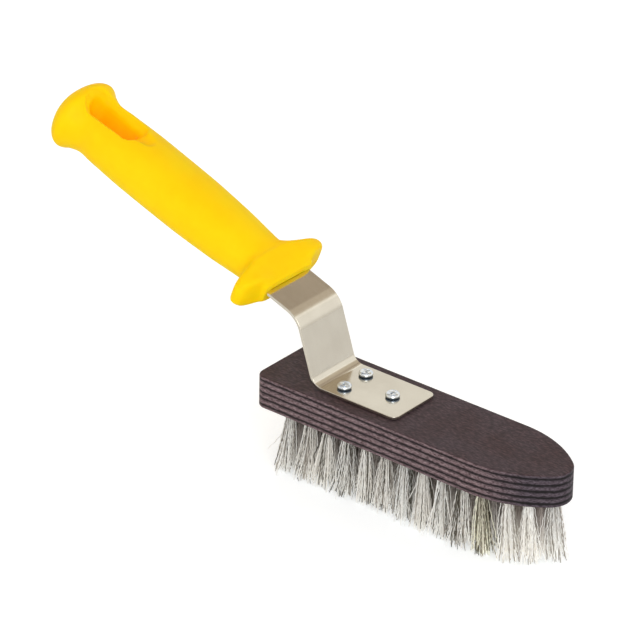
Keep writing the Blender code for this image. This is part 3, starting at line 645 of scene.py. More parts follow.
# place along the guard, its width, rise and drop, how far the wing has grown, roundness
GUARD_SHARES = [
    (0.00, 0.00, 0.00, 0.00, 0.00, 6.5), (0.08, 0.08, 0.10, 0.13, 0.40, 5.5),
    (0.14, 0.32, 0.19, 0.20, 0.80, 4.8), (0.19, 0.64, 0.26, 0.31, 1.00, 4.3),
    (0.24, 0.86, 0.35, 0.42, 1.00, 4.1), (0.32, 0.97, 0.48, 0.55, 1.00, 4.0),
    (0.40, 1.00, 0.60, 0.68, 1.00, 4.0), (0.49, 0.98, 0.73, 0.79, 1.00, 4.0),
    (0.56, 0.88, 0.84, 0.89, 1.00, 4.0), (0.63, 0.65, 0.93, 0.96, 1.00, 3.8),
    (0.70, 0.30, 1.00, 1.00, 0.85, 3.5), (0.78, 0.03, 0.92, 0.88, 0.40, 3.1)]
# place along the grip, its width and height
GRIP_SHARES = [(0.00, 0.00, 0.00), (0.05, 0.11, 0.16), (0.20, 0.542, 0.632),
               (0.46, 0.95, 0.96), (0.72, 1.00, 1.00), (0.93, 0.79, 0.80)]

# %% Cross-sections from the sizes
def between(low, high, shares):
    """Sizes that lie a share of the way between two others."""
    return low + (high - low) * np.array(shares)


# columns: place, half width, rise, drop, wing rise, wing drop, roundness
stations = []
for place, width, rise, drop, grown, roundness in GUARD_SHARES:
    half, up, down = between(MOUTH_SIZE, GUARD_SIZE, (width, rise, drop))
    wing = between(np.array((up, down)), WING_SIZE, grown)
    stations.append((GUARD_LENGTH / MM * place, half, up, down, *wing, roundness))
for place, width, height in GRIP_SHARES:
    half, tall = between(WAIST_SIZE, GRIP_SIZE, (width, height))
    place = between(GUARD_LENGTH / MM, NECK_PLACE / MM, place)
    stations.append((place, half, *[tall] * 4, GRIP_ROUNDNESS))
for place, half, tall in BUTT_STATIONS:
    stations.append((place, half, *[tall] * 4, GRIP_ROUNDNESS))
stations = np.round(stations, 2)
stations[:, :6] *= MM


def slope_at(index, column):
    """Slope of the smooth curve at one station: level at a peak, a dip or an end."""
    if index in (0, len(stations) - 1):
        return 0.0
    steps = np.diff(stations[index - 1:index + 2, [0, column]], axis=0)
    before, after = steps[:, 1] / steps[:, 0]
    return 0.0 if before * after <= 0 else 2 * before * after / (before + after)


def station_value(place, column):
    """Read one column between stations, along a smooth curve that never overshoots."""
    index = int(np.clip(np.searchsorted(stations[:, 0], place) - 1, 0, len(stations) - 2))
    low, high = stations[index], stations[index + 1]
    span = high[0] - low[0]
    t = min(max((place - low[0]) / span, 0.0), 1.0)
    ease = 3 * t ** 2 - 2 * t ** 3
    lead = (t ** 3 - 2 * t ** 2 + t) * slope_at(index, column)
    trail = (t ** 3 - t ** 2) * slope_at(index + 1, column)
    return low[column] + (high[column] - low[column]) * ease + span * (lead + trail)


print("Handle stations:", len(stations))

# %% [markdown]
# A ring is a superellipse: roundness 2 is an ellipse, and a higher number squares its
# corners. The guard adds one thing, because it is thinner at its wing tips than over the
# handle's middle, so the height there eases from the body's to the wing's. Behind the bulb
# the rings shrink like slices of a ball, which closes the butt.

# %% Shape of one ring
MOUTH_EDGE = 0.4 * MM
BUTT_ROUNDNESS = 0.92


def handle_point(x, y, z):
    """Where a point of the plain cylinder goes on the finished handle."""
    place, angle = -x, math.atan2(z, y)
    scale = 1.0
    if place > BULB_PLACE:
        sine = min(1.0, (place - BULB_PLACE) / (HANDLE_LENGTH - BULB_PLACE))
        scale = math.sqrt(1.0 - sine ** 2) ** BUTT_ROUNDNESS
    if place < MOUTH_EDGE / 2:
        scale = 1.0 - MOUTH_EDGE / (MOUTH_SIZE[0] * MM)
    half, rise, drop, wing_rise, wing_drop, roundness = (
        station_value(min(place, BULB_PLACE), column) for column in range(1, 7))
    power = 2 / roundness
    across = math.copysign(abs(math.cos(angle)) ** power, math.cos(angle))
    height = math.copysign(abs(math.sin(angle)) ** power, math.sin(angle))
    body = 1 / (1 + (abs(half * across) / WING_ROOT) ** WING_FALLOFF)
    high, wing = (rise, wing_rise) if height > 0 else (drop, wing_drop)
    return (x, half * across * scale, height * (wing + (high - wing) * body) * scale)


# %% Cut the cylinder into rings and shape them
HANDLE_SIDES = 96
BLANK_RADIUS = 20 * MM
GUARD_RINGS = 44
GRIP_RINGS = 64
DOME_TURNS = (8, 16, 24, 32, 40, 48, 56, 63, 70, 76, 81, 85, 88)

clear_selection()
bpy.ops.mesh.primitive_cylinder_add(vertices=HANDLE_SIDES, radius=BLANK_RADIUS,
                                    depth=HANDLE_LENGTH,
                                    location=(-HANDLE_LENGTH / 2, 0.0, 0.0),
                                    rotation=(0.0, math.pi / 2, 0.0))
handle = name_piece("moulded_handle")
rings = [-MOUTH_EDGE]
rings += [-GUARD_LENGTH * step / GUARD_RINGS for step in range(2, GUARD_RINGS + 1)]
rings += list(-np.linspace(GUARD_LENGTH, BULB_PLACE, GRIP_RINGS)[1:])
rings += [-BULB_PLACE - (HANDLE_LENGTH - BULB_PLACE) * math.sin(math.radians(turn))
          for turn in DOME_TURNS]
slice_across(handle, rings, axis=0)
reshape(handle, handle_point)
point_outwards(handle)
print("Handle rings:", len(rings))

# %% [markdown]
# The hanging slot goes right through the butt. Its walls are straight in the middle and roll
# over to the surface at both faces. Beveling the rim after the cut would have to follow a
# wavy edge, so the roll is built into the cutter: a stretched cylinder that opens out towards
# both ends. At the rear the roll starts higher up, because the butt's skin is higher there.
# The slot's front end is squarer and a little narrower than its rear.

# %% Cutter for the hanging slot
SLOT_PLACE = 106.1 * MM
SLOT_HALF_WIDTH = 5.3 * MM
SLOT_HALF_STRAIGHT = 7.6 * MM
SLOT_END_FLARE = 0.8
SLOT_FRONT_SQUARENESS = 0.6
SLOT_FRONT_WIDTH_SHARE = 0.86
SLOT_ROLL = 3.6 * MM
SLOT_ROLL_TURN = math.radians(84)
SLOT_ROLL_START = 6.3 * MM
SLOT_REAR_LIFT = 4.6 * MM
SLOT_REACH = 18.0 * MM
SLOT_LEVELS = np.arange(-17.0, 17.5, 0.5) * MM


def slot_point(x, y, z):
    """Where a point of the plain upright cylinder goes on the slot's cutter."""
    angle = math.atan2(y, x)
    rear = max(0.0, -math.cos(angle)) ** 2
    start = SLOT_ROLL_START + SLOT_REAR_LIFT * rear
    deep = min(max(0.0, abs(z) - start), SLOT_ROLL * math.sin(SLOT_ROLL_TURN))
    flare = SLOT_ROLL - math.sqrt(SLOT_ROLL ** 2 - deep ** 2)
    reach = SLOT_HALF_WIDTH + SLOT_END_FLARE * flare
    across = math.sin(angle)
    if math.cos(angle) > 0:
        far = SLOT_HALF_STRAIGHT + reach * math.cos(angle) ** SLOT_FRONT_SQUARENESS
        across = math.copysign(abs(across) ** SLOT_FRONT_SQUARENESS, across)
    else:
        far = reach * math.cos(angle) - SLOT_HALF_STRAIGHT
    forward = min(max(0.5 + far / (2 * SLOT_HALF_STRAIGHT), 0.0), 1.0)
    narrowing = 1 - (1 - SLOT_FRONT_WIDTH_SHARE) * forward
    return (far, (SLOT_HALF_WIDTH + flare) * across * narrowing, z)


clear_selection()
bpy.ops.mesh.primitive_cylinder_add(vertices=64, radius=SLOT_HALF_WIDTH, depth=2 * SLOT_REACH)
slot_cutter = name_piece("slot_cutter")
slice_across(slot_cutter, list(SLOT_LEVELS), axis=2)
reshape(slot_cutter, slot_point)
slot_cutter.location.x = -SLOT_PLACE
place_mesh(slot_cutter)
cut_away(handle, slot_cutter)
print("Slot runs from", round((SLOT_PLACE - SLOT_HALF_STRAIGHT - SLOT_HALF_WIDTH) / MM, 1), "mm")

# %% [markdown]
# In front of the slot both faces are hollowed, so that a hook finds its way in. The hollow is
# what a ball leaves when it is drawn down into the slot: a sphere whose rear half is pulled
# back, inwards and a little narrower.

# %% Hollow in front of the slot
SCOOP_RADIUS = 5.6 * MM
SCOOP_LEVEL = 16.3 * MM
SCOOP_PLACE = 87.3 * MM
SCOOP_RUN = 5.5 * MM
SCOOP_DIVE = 2.4 * MM
SCOOP_REAR_SHARE = 0.78

for side in (1, -1):
    clear_selection()
    bpy.ops.mesh.primitive_uv_sphere_add(segments=48, ring_count=24, radius=SCOOP_RADIUS,
                                         location=(-SCOOP_PLACE, 0.0, side * SCOOP_LEVEL))
    scoop = name_piece("scoop_cutter")
    bpy.ops.object.mode_set(mode="EDIT")
    pick(scoop, "VERT", lambda vert: vert.co.x < -SCOOP_PLACE - NEAR)
    bpy.ops.transform.resize(value=(1.0, SCOOP_REAR_SHARE, 1.0))
    bpy.ops.transform.translate(value=(-SCOOP_RUN, 0.0, -side * SCOOP_DIVE))
    bpy.ops.object.mode_set(mode="OBJECT")
    cut_away(handle, scoop)
grip_rise = GRIP_SIZE[1] * MM
print("Hollow is", round((SCOOP_RADIUS + grip_rise - SCOOP_LEVEL) / MM, 1), "mm deep")

# %% [markdown]
# The mouth holds a socket for the strap. It is only a hair wider than the strap and grips
# its two faces, so the plastic seems to grow out of the steel. Further in, it narrows for
# the tang.

# %% Socket for the strap
SOCKET_SIZE = Vector((100.0, 28.1, 1.3)) * MM
SOCKET_REAR_SHARE = 0.62

clear_selection()
bpy.ops.mesh.primitive_cube_add(size=1.0)
socket = name_piece("socket_cutter", SOCKET_SIZE)
bpy.ops.object.mode_set(mode="EDIT")
pick(socket, "VERT", lambda vert: vert.co.x < 0)
bpy.ops.transform.resize(value=(1.0, SOCKET_REAR_SHARE, 1.0))
bpy.ops.object.mode_set(mode="OBJECT")
cut_away(handle, socket)
print("Socket is", round(SOCKET_SIZE.x / MM / 2), "mm deep")

# %% [markdown]
# A moulding has no sharp inside or outside corners. Remeshing the whole handle into small
# even squares and relaxing them rounds every rim by about half a millimetre, as a polished
# mould does, and leaves a clean mesh.
#
# The slot and the valley behind the guard get painted shade: a deeper orange and a faint
# orange glow, standing in for light that bounces between yellow walls. Each point stores how
# far it lies below the skin that the plain rings had, plus a little in the valley, and the
# finish reads that number.

# %% Round the handle and put it in its place
VOXEL = 0.5 * MM
FULL_DEPTH = 2.9 * MM
RIM_DEPTH = 0.25 * MM
BUTT_FADE = 2.0 * MM
VALLEY_PLACE = 14.5 * MM
VALLEY_REACH = 2.6 * MM
VALLEY_PAINTED_SHADE = 0.35


def handle_painted_shade(x, y, z):
    """Painted shade: 0 on the open skin to 1 deep in the slot, with a little in the guard's
    valley.
    """
    place = min(max(-x, 0.0), BULB_PLACE)
    half, rise, roundness = (station_value(place, column) for column in (1, 2, 6))
    if place < GUARD_LENGTH:
        inside = 0.0
    else:
        reach = ((abs(y) / half) ** roundness + (abs(z) / rise) ** roundness) ** (1 / roundness)
        inside = (1.0 - reach) * rise - RIM_DEPTH
        inside *= min(max((BULB_PLACE + x) / BUTT_FADE, 0.0), 1.0)
    # painted shade in the crease between the guard and the grip
    valley = VALLEY_PAINTED_SHADE * math.exp(-((place - VALLEY_PLACE) / VALLEY_REACH) ** 2)
    return min(1.0, max(inside / FULL_DEPTH, valley, 0.0))


apply_modifier(handle, "REMESH", mode="VOXEL", voxel_size=VOXEL, adaptivity=0.0)
apply_modifier(handle, "SMOOTH", factor=0.5, iterations=8)
paint_points(handle, "painted_slot_and_valley_shade", handle_painted_shade)
handle.rotation_euler = (0.0, HANDLE_TILT, 0.0)
handle.location = MOUTH_CENTRE
place_mesh(handle)
finish_piece(handle, yellow_plastic, ["handle"])

# %% [markdown]
# ## The strap
#
# One flat bar, bent twice. By hand it would be a strip of sheet, so it starts as a plane, and
# its rear edge is extruded along the bends. Then Solidify gives it the sheet's thickness and
# Bevel takes the sharpness off the sheared edges. Two cuts along it mark off the narrow tang,
# which is the middle half of the rear edge drawn on into the handle.

# %% Line of the strap
STRAP_THICKNESS = 1.4 * MM
STRAP_HALF_WIDTH = 14.0 * MM
PLATE_FRONT = -5.48 * MM
PLATE_LEVEL = 45.5 * MM
PLATE_CORNER_RADIUS = 3.0 * MM
RISER_FOOT = -48.88 * MM
BEND_CORNER = Vector((-58.37 * MM, 74.70 * MM))
LOWER_BEND_RADIUS = 6.0 * MM
UPPER_BEND_RADIUS = 11.8 * MM
SHOULDER_DEPTH = 6.0 * MM
TANG_LENGTH = 44.0 * MM
TANG_HALF_WIDTH = 7.0 * MM
SHEARED_EDGE = 0.22 * MM
handle_axis = Vector((-math.cos(HANDLE_TILT), math.sin(HANDLE_TILT)))


def rounded_corner(before, corner, after, radius, steps):
    """Points of the arc that rounds a corner of a line in the XZ plane."""
    to_before, to_after = (before - corner).normalized(), (after - corner).normalized()
    half_angle = to_before.angle(to_after) / 2
    centre = corner + (to_before + to_after).normalized() * (radius / math.sin(half_angle))
    first = corner + to_before * (radius / math.tan(half_angle)) - centre
    last = corner + to_after * (radius / math.tan(half_angle)) - centre
    turn = math.atan2(first.x * last.y - first.y * last.x, first.dot(last))
    return [centre + Matrix.Rotation(turn * step / steps, 2) @ first for step in range(steps + 1)]


front = Vector((PLATE_FRONT, PLATE_LEVEL))
foot = Vector((RISER_FOOT, PLATE_LEVEL))
shoulder = Vector((MOUTH_CENTRE.x, MOUTH_CENTRE.z)) + handle_axis * SHOULDER_DEPTH
strap_line = rounded_corner(front, foot, BEND_CORNER, LOWER_BEND_RADIUS, 16)
strap_line += rounded_corner(foot, BEND_CORNER, shoulder, UPPER_BEND_RADIUS, 24)
strap_line.append(shoulder)
print("Strap line points:", len(strap_line))

# %% Bend the strip
clear_selection()
plate_length = PLATE_FRONT - strap_line[0].x
bpy.ops.mesh.primitive_plane_add(size=1.0, location=(PLATE_FRONT - plate_length / 2, 0.0,
                                                     PLATE_LEVEL))
strap = name_piece("plated_strap", (plate_length, 2 * STRAP_HALF_WIDTH, 1.0))
slice_across(strap, [-TANG_HALF_WIDTH, TANG_HALF_WIDTH], axis=1)
bpy.ops.object.mode_set(mode="EDIT")
rear_x = min(vert.co.x for vert in bmesh.from_edit_mesh(strap.data).verts)
pick(strap, "EDGE", lambda edge: abs(middle(edge).x - rear_x) < NEAR)
for here, there in zip(strap_line, strap_line[1:]):
    draw_on(x=there.x - here.x, z=there.y - here.y)
pick(strap, "EDGE", lambda edge: middle(edge).x < shoulder.x + NEAR
     and abs(middle(edge).y) < TANG_HALF_WIDTH / 2)
draw_on(x=handle_axis.x * TANG_LENGTH, z=handle_axis.y * TANG_LENGTH)
pick(strap, "VERT", lambda vert: vert.co.x > PLATE_FRONT - NEAR
     and abs(vert.co.y) > TANG_HALF_WIDTH * 1.5)
bpy.ops.mesh.bevel(affect="VERTICES", offset=PLATE_CORNER_RADIUS, offset_type="OFFSET",
                   segments=8)
bpy.ops.mesh.select_all(action="SELECT")
bpy.ops.mesh.normals_make_consistent(inside=False)
bpy.ops.object.mode_set(mode="OBJECT")
apply_modifier(strap, "SOLIDIFY", thickness=STRAP_THICKNESS, offset=0.0)
round_edges(strap, SHEARED_EDGE, 3, above=50)
point_outwards(strap)
finish_piece(strap, strap_steel, ["bent_strap"], smooth_below=30)

# %% [markdown]
# ## The screws
#
# Each is a pan-head screw with a cross recess. The head starts as a short cylinder: its top
# rim is beveled wide and round into the dome, and its lower rim is drawn in, because a pan
# head stands a hair off the plate and shows a dark line under itself. The recess is two
# crossed tapered blades cut out of the dome. Painted shade darkens the recess and the foot
# of the rim.

# %% Screw sizes
HEAD_RADIUS = 3.25 * MM
HEAD_HEIGHT = 1.75 * MM
HEAD_ROUNDING = 1.0 * MM
HEAD_FOOT_SHARE = 0.93
DOME_STEPS = 5
DOME_INSET = 0.42 * MM
DOME_RISE = 0.23 * MM
SHANK_INSET = 1.4 * MM
SHANK_LENGTH = 9.0 * MM
POINT_LENGTH = 3.0 * MM
POINT_SHARE = 0.15
BLADE_SIZE = (4.6 * MM, 1.2 * MM, 2.0 * MM)
BLADE_END_SHARES = (0.35, 0.55, 1.0)
RECESS_ROUNDING = 0.07 * MM
RECESS_REACH = 2.3 * MM
RECESS_PAINTED_SHADE = 0.4
RIM_START = 2.2 * MM
RIM_PAINTED_SHADE_TOP = 0.95 * MM
SCREW_SEAT = 46.35 * MM
SCREW_PLACES = [(-37.68 * MM, -7.2 * MM), (-37.68 * MM, 7.2 * MM), (-17.68 * MM, 0.0)]
SCREW_TURNS = [math.radians(18), math.radians(52), math.radians(8)]


def screw_painted_shade(x, y, z):
    """Painted shade at a point of the screw: 1 low on the rim, less in the recess, 0 on the dome.
    """
    across = math.hypot(x, y)
    rim = (RIM_PAINTED_SHADE_TOP - z) / (0.25 * MM) if across > RIM_START else 0.0
    dome = HEAD_HEIGHT + DOME_RISE * (1 - (across / HEAD_RADIUS) ** 2)
    hollow = (dome - z - 0.08 * MM) / (0.15 * MM) if across < RECESS_REACH else 0.0
    return max(min(rim, 1.0), min(hollow, 1.0) * RECESS_PAINTED_SHADE, 0.0)


def recess_blade(turn):
    """One tapered blade of the cross recess."""
    clear_selection()
    bpy.ops.mesh.primitive_cube_add(size=1.0, location=(0.0, 0.0, HEAD_HEIGHT))
    blade = name_piece("recess_blade", BLADE_SIZE)
    bpy.ops.object.mode_set(mode="EDIT")
    pick(blade, "FACE", lambda face: face.normal.z < -0.9)
    bpy.ops.transform.resize(value=BLADE_END_SHARES)
    bpy.ops.object.mode_set(mode="OBJECT")
    blade.rotation_euler.z = turn
    place_mesh(blade)
    return blade


# %% Model one screw
clear_selection()
bpy.ops.mesh.primitive_cylinder_add(vertices=48, radius=HEAD_RADIUS, depth=HEAD_HEIGHT,
                                    location=(0.0, 0.0, HEAD_HEIGHT / 2))
screw = name_piece("pan_screw")
bpy.ops.object.mode_set(mode="EDIT")
pick(screw, "FACE", lambda face: face.normal.z < -0.9)
bpy.ops.transform.resize(value=(HEAD_FOOT_SHARE, HEAD_FOOT_SHARE, 1.0))
bpy.ops.mesh.inset(thickness=SHANK_INSET)
draw_on(z=-SHANK_LENGTH)
draw_on(z=-POINT_LENGTH)
bpy.ops.transform.resize(value=(POINT_SHARE, POINT_SHARE, 1.0))
pick(screw, "FACE", lambda face: face.normal.z > 0.9)
bpy.ops.mesh.bevel(affect="EDGES", offset=HEAD_ROUNDING, segments=7, profile=0.5)
pick(screw, "FACE", lambda face: face.normal.z > 0.99)
for step in range(DOME_STEPS):
    bpy.ops.mesh.inset(thickness=DOME_INSET)
    bpy.ops.transform.translate(value=(0.0, 0.0, (0.07 - 0.012 * step) * MM))
bpy.ops.object.mode_set(mode="OBJECT")
for turn in (0.0, math.pi / 2):
    cut_away(screw, recess_blade(turn))
round_edges(screw, RECESS_ROUNDING, 2, above=40)
point_outwards(screw)
paint_points(screw, "painted_shade", screw_painted_shade)
print("Screw points:", len(screw.data.vertices))

# %% Copy it to its three places
for number, (place, turn) in enumerate(zip(SCREW_PLACES, SCREW_TURNS), start=1):
    copy = bpy.data.objects.new(f"pan_screw_{number}", screw.data.copy())
    bpy.context.scene.collection.objects.link(copy)
    copy.data.transform(Matrix.Translation((*place, SCREW_SEAT)) @ Matrix.Rotation(turn, 4, "Z"))
    finish_piece(copy, screw_zinc, [f"plate_screw_{number}"], smooth_below=35)
bpy.data.objects.remove(screw, do_unlink=True)

# %% [markdown]
# ## The plywood block
#
# A sawn board: square at the rear with round corners, straight sides, and a nose that draws
# in like a boat's bow. It starts as a plane. Its front edge is extruded towards the nose in
# short steps, and each step is narrowed to the bow's width, as one would saw along a drawn
# line. Then the outline is raised to the board's thickness and its edges are sanded round.

# %% Outline of the board
BLOCK_HALF_WIDTH = 20.0 * MM
BLOCK_REAR = -75.98 * MM
BLOCK_TIP = 73.92 * MM
BLOCK_UNDER = 29.5 * MM
BLOCK_THICKNESS = 15.0 * MM
REAR_CORNER_RADIUS = 5.0 * MM
NOSE_SIDE_RADIUS = 50.0 * MM
NOSE_TIP_RADIUS = 10.0 * MM
SANDED_EDGE = 0.7 * MM
NOSE_STEPS = 24
TIP_STEPS = 12
tip_centre = BLOCK_TIP - NOSE_TIP_RADIUS
nose_drop = NOSE_SIDE_RADIUS - BLOCK_HALF_WIDTH
nose_start = tip_centre - math.sqrt((NOSE_SIDE_RADIUS - NOSE_TIP_RADIUS) ** 2 - nose_drop ** 2)
nose_lean = math.atan2(nose_drop, tip_centre - nose_start)


def bow_outline():
    """Places along the nose and half widths there, from the straight side to the tip."""
    places = []
    for step in range(1, NOSE_STEPS + 1):
        turn = math.pi / 2 - (math.pi / 2 - nose_lean) * step / NOSE_STEPS
        places.append((nose_start + NOSE_SIDE_RADIUS * math.cos(turn),
                       NOSE_SIDE_RADIUS * math.sin(turn) - nose_drop))
    for step in range(1, TIP_STEPS + 1):
        turn = nose_lean * (1 - step / (TIP_STEPS + 0.2))
        places.append((tip_centre + NOSE_TIP_RADIUS * math.cos(turn),
                       NOSE_TIP_RADIUS * math.sin(turn)))
    return places


clear_selection()
straight = nose_start - BLOCK_REAR
bpy.ops.mesh.primitive_plane_add(size=1.0, location=(BLOCK_REAR + straight / 2, 0.0,
                                                     BLOCK_UNDER))
block = name_piece("plywood_block", (straight, 2 * BLOCK_HALF_WIDTH, 1.0))
bpy.ops.object.mode_set(mode="EDIT")
pick(block, "EDGE", lambda edge: middle(edge).x > nose_start - NEAR)
last_x, last_half = nose_start, BLOCK_HALF_WIDTH
for place, half in bow_outline():
    draw_on(x=place - last_x)
    bpy.ops.transform.resize(value=(1.0, half / last_half, 1.0))
    last_x, last_half = place, half
pick(block, "VERT", lambda vert: vert.co.x < BLOCK_REAR + NEAR)
bpy.ops.mesh.bevel(affect="VERTICES", offset=REAR_CORNER_RADIUS, segments=10)
bpy.ops.mesh.select_all(action="SELECT")
bpy.ops.mesh.dissolve_limited(angle_limit=math.radians(0.5))
bpy.ops.mesh.select_all(action="SELECT")
draw_on(z=BLOCK_THICKNESS)
bpy.ops.object.mode_set(mode="OBJECT")
point_outwards(block)
round_edges(block, SANDED_EDGE, 4, above=50)
print("Board length:", round((BLOCK_TIP - BLOCK_REAR) / MM, 1), "mm")

# %% [markdown]
# The tufts sit in drilled holes. Eleven cross rows of five fill the straight part, and three
# shorter rows follow the nose. One list of places serves the holes now and the wires later.

# %% Places of the tufts
ROW_PITCH = 10.13 * MM
TUFT_PITCH = 6.75 * MM
ROW_PLACES = [(number - 6) * ROW_PITCH for number in range(11)]
NOSE_ROWS = [(51.92 * MM, 4), (60.12 * MM, 3), (66.42 * MM, 1)]
EDGE_MARGIN = 6.3 * MM


def half_width_at(x):
    """Half the board's width at a place along it."""
    if x <= nose_start:
        return BLOCK_HALF_WIDTH
    if x <= tip_centre + NOSE_TIP_RADIUS * math.cos(nose_lean):
        return math.sqrt(NOSE_SIDE_RADIUS ** 2 - (x - nose_start) ** 2) - nose_drop
    return math.sqrt(max(0.0, NOSE_TIP_RADIUS ** 2 - (x - tip_centre) ** 2))


tuft_places = [[(x, (across - 2) * TUFT_PITCH) for across in range(5)] for x in ROW_PLACES]
for x, count in NOSE_ROWS:
    reach = 0.0 if count == 1 else min(half_width_at(x) - EDGE_MARGIN, 2 * TUFT_PITCH)
    step = 2 * reach / max(1, count - 1)
    tuft_places.append([(x, step * across - reach) for across in range(count)])
print("Holes:", sum(len(row) for row in tuft_places))

# %% Drill the holes
HOLE_RADIUS = 2.35 * MM
HOLE_DEPTH = 3.0 * MM

clear_selection()
bpy.ops.mesh.primitive_cylinder_add(vertices=20, radius=HOLE_RADIUS, depth=2 * HOLE_DEPTH,
                                    location=(0.0, 0.0, BLOCK_UNDER))
drill = name_piece("drill")
drills = bmesh.new()
for row in tuft_places:
    for x, y in row:
        before = len(drills.verts)
        drills.from_mesh(drill.data)
        drills.verts.ensure_lookup_table()
        bmesh.ops.translate(drills, verts=drills.verts[before:], vec=(x, y, 0.0))
drills.to_mesh(drill.data)
drills.free()
cut_away(block, drill)
finish_piece(block, dark_plywood, ["brush_block"], smooth_below=30)

# %% [markdown]
# ## The wires
#
# A tuft is a bundle of flat wires folded into its hole. One wire is modelled once: a flat
# four-sided ring is extruded downwards in short steps, and every second step is pushed
# aside, which is the crimp that keeps real wires apart. It has only a few dozen faces,
# because the brush holds thousands of them.

# %% Model one wire
WIRE_WIDTH = 0.30 * MM
WIRE_THICKNESS = 0.17 * MM
WIRE_STEPS = 15
CRIMP = 0.36 * MM

clear_selection()
bpy.ops.mesh.primitive_circle_add(vertices=4, radius=0.5, fill_type="NGON",
                                  rotation=(0.0, 0.0, math.pi / 4))
one_wire = name_piece("one_wire")
bpy.ops.object.mode_set(mode="EDIT")
bpy.ops.mesh.select_all(action="SELECT")
square_side = math.sqrt(2)
bpy.ops.transform.resize(value=(WIRE_WIDTH * square_side, WIRE_THICKNESS * square_side, 1.0))
for step in range(WIRE_STEPS):
    side = CRIMP if step % 2 else -CRIMP
    side *= 0.5 if step in (0, WIRE_STEPS - 1) else 1.0
    draw_on(y=side, z=-1.0 / WIRE_STEPS)
bpy.ops.object.mode_set(mode="OBJECT")
point_outwards(one_wire)
wire_points = np.array([vert.co for vert in one_wire.data.vertices])
wire_faces = [list(face.vertices) for face in one_wire.data.polygons]
bpy.data.objects.remove(one_wire, do_unlink=True)
print("Faces in one wire:", len(wire_faces))

# %% [markdown]
# Each copy is turned, stretched to its own length and leaned from its root to its own tip.
# The wires stand close together at the hole and fan out towards the tips, the rows at both
# ends lean outwards as on a used brush, and a few wires stray. A wire bends more towards its
# tip, so the lean grows with the square of the distance as well as with the distance itself.

# %% Lay out one wire
ROOT_HIDDEN = 2.0 * MM
STRAIGHT_SHARE = 0.55
REAR_LEAN = 3.4 * MM
NOSE_LEAN = 3.0 * MM
SIDE_LEAN = 0.6 * MM


def tip_lean(x, y):
    """How far a tuft's tip stands from its root."""
    if x < 0:
        along = -REAR_LEAN * (x / ROW_PLACES[0]) ** 2
    else:
        along = NOSE_LEAN * (x / BLOCK_TIP) ** 2
    return np.array((along, SIDE_LEAN * y / BLOCK_HALF_WIDTH))


def one_copy(root, tip, tip_z, bow, turn):
    """Points of one wire from its root in the hole to its tip."""
    points = wire_points.copy()
    share = -points[:, 2]
    flat = points[:, :2] @ np.array(((math.cos(turn), math.sin(turn)),
                                     (-math.sin(turn), math.cos(turn))))
    bent = STRAIGHT_SHARE * share + (1 - STRAIGHT_SHARE) * share ** 2
    for axis in (0, 1):
        points[:, axis] = root[axis] + (tip[axis] - root[axis]) * bent + flat[:, axis]
        points[:, axis] += bow[axis] * np.sin(math.pi * share)
    top = BLOCK_UNDER + ROOT_HIDDEN
    points[:, 2] = top + (tip_z - top) * share
    return points


# %% [markdown]
# The roots fill their hole evenly: each next wire turns by the golden angle, as seeds do in
# a sunflower. Tips end at different heights, mostly near the floor. Most wires are bright
# and a few are dark with smoke, which gives the tuft its stripes, but at the nose the
# darkest tone is left out, which paints light on the nose tufts.

# %% Lay out one tuft
WIRES_IN_TUFT = 112
ROOT_RADIUS = 1.75 * MM
TIP_RADIUS = 4.0 * MM
TIP_RAGGED = 6.0 * MM
RAGGED_POWER = 2.1
NOSE_SHORT = 4.0 * MM
CLUMP = 0.35
WANDER = 1.2
BOW = 0.65
STRAY_SHARE = 0.14
STRAY_FACTOR = 2.5
WIRE_TONES = [(0.09, 0.08, 0.06), (0.40, 0.37, 0.34), (1.0, 0.99, 0.97), (1.0, 1.0, 0.99),
              (1.0, 1.0, 1.0), (1.0, 1.0, 0.99)]
NOSE_PAINTED_LIGHT_FROM = 45.0 * MM
GOLDEN_TURN = math.pi * (3 - math.sqrt(5))


def scatter(chance, spread):
    """A random step in plan, with its usual size in millimetres."""
    return np.array((chance.gauss(0, spread), chance.gauss(0, spread))) * MM


def tuft_wires(chance, x, y, tone):
    """All wires of one tuft: their points and their tones, with painted light and shade."""
    copies, wire_tones_and_shade = [], []
    # painted light: the nose tufts lose the darkest tone
    tones = WIRE_TONES[1:] if x > NOSE_PAINTED_LIGHT_FROM else WIRE_TONES
    start = chance.uniform(0, 2 * math.pi)
    middle_of_tips = np.array((x, y)) + tip_lean(x, y) + scatter(chance, CLUMP)
    for index in range(WIRES_IN_TUFT):
        reach = math.sqrt((index + 0.5) / WIRES_IN_TUFT)
        angle = start + GOLDEN_TURN * index
        outward = np.array((math.cos(angle), math.sin(angle)))
        root = np.array((x, y)) + ROOT_RADIUS * reach * outward
        fan = TIP_RADIUS * reach * chance.uniform(0.7, 1.15)
        aside = scatter(chance, WANDER)
        if chance.random() < STRAY_SHARE:
            aside *= STRAY_FACTOR
        tip = middle_of_tips + fan * outward + aside
        short = TIP_RAGGED * chance.random() ** RAGGED_POWER
        short += NOSE_SHORT * max(0.0, x / BLOCK_TIP) ** 4 * chance.uniform(0.4, 1.0)
        bow = scatter(chance, BOW)
        copies.append(one_copy(root, tip, short, bow, chance.uniform(0, math.pi)))
        wire_tones_and_shade.append(np.array(chance.choice(tones)) * tone)
    return copies, wire_tones_and_shade


print("Wires on the brush:", WIRES_IN_TUFT * sum(len(row) for row in tuft_places))

# %% [markdown]
# One mesh holds all the wires of a cross row, as one CAD node does. The tints go in as a
# colour for each point. A tuft has a tone of its own that its wires share: a little warmer
# or cooler by chance, darker behind the nose as painted shade, and yellow with old oil on one
# of them. Painted shade darkens the inner tufts, more the closer a point is to the block.

# %% Make the rows
REAR_PAINTED_SHADE = 0.10
WARMTH = 0.05
OILY_TUFT = (11, True)
OILY_TONE = [0.97, 0.96, 0.80]
INNER_PAINTED_SHADE = np.array((0.82, 0.89, 0.91))
INNER_SHADE_POWER = 1.2


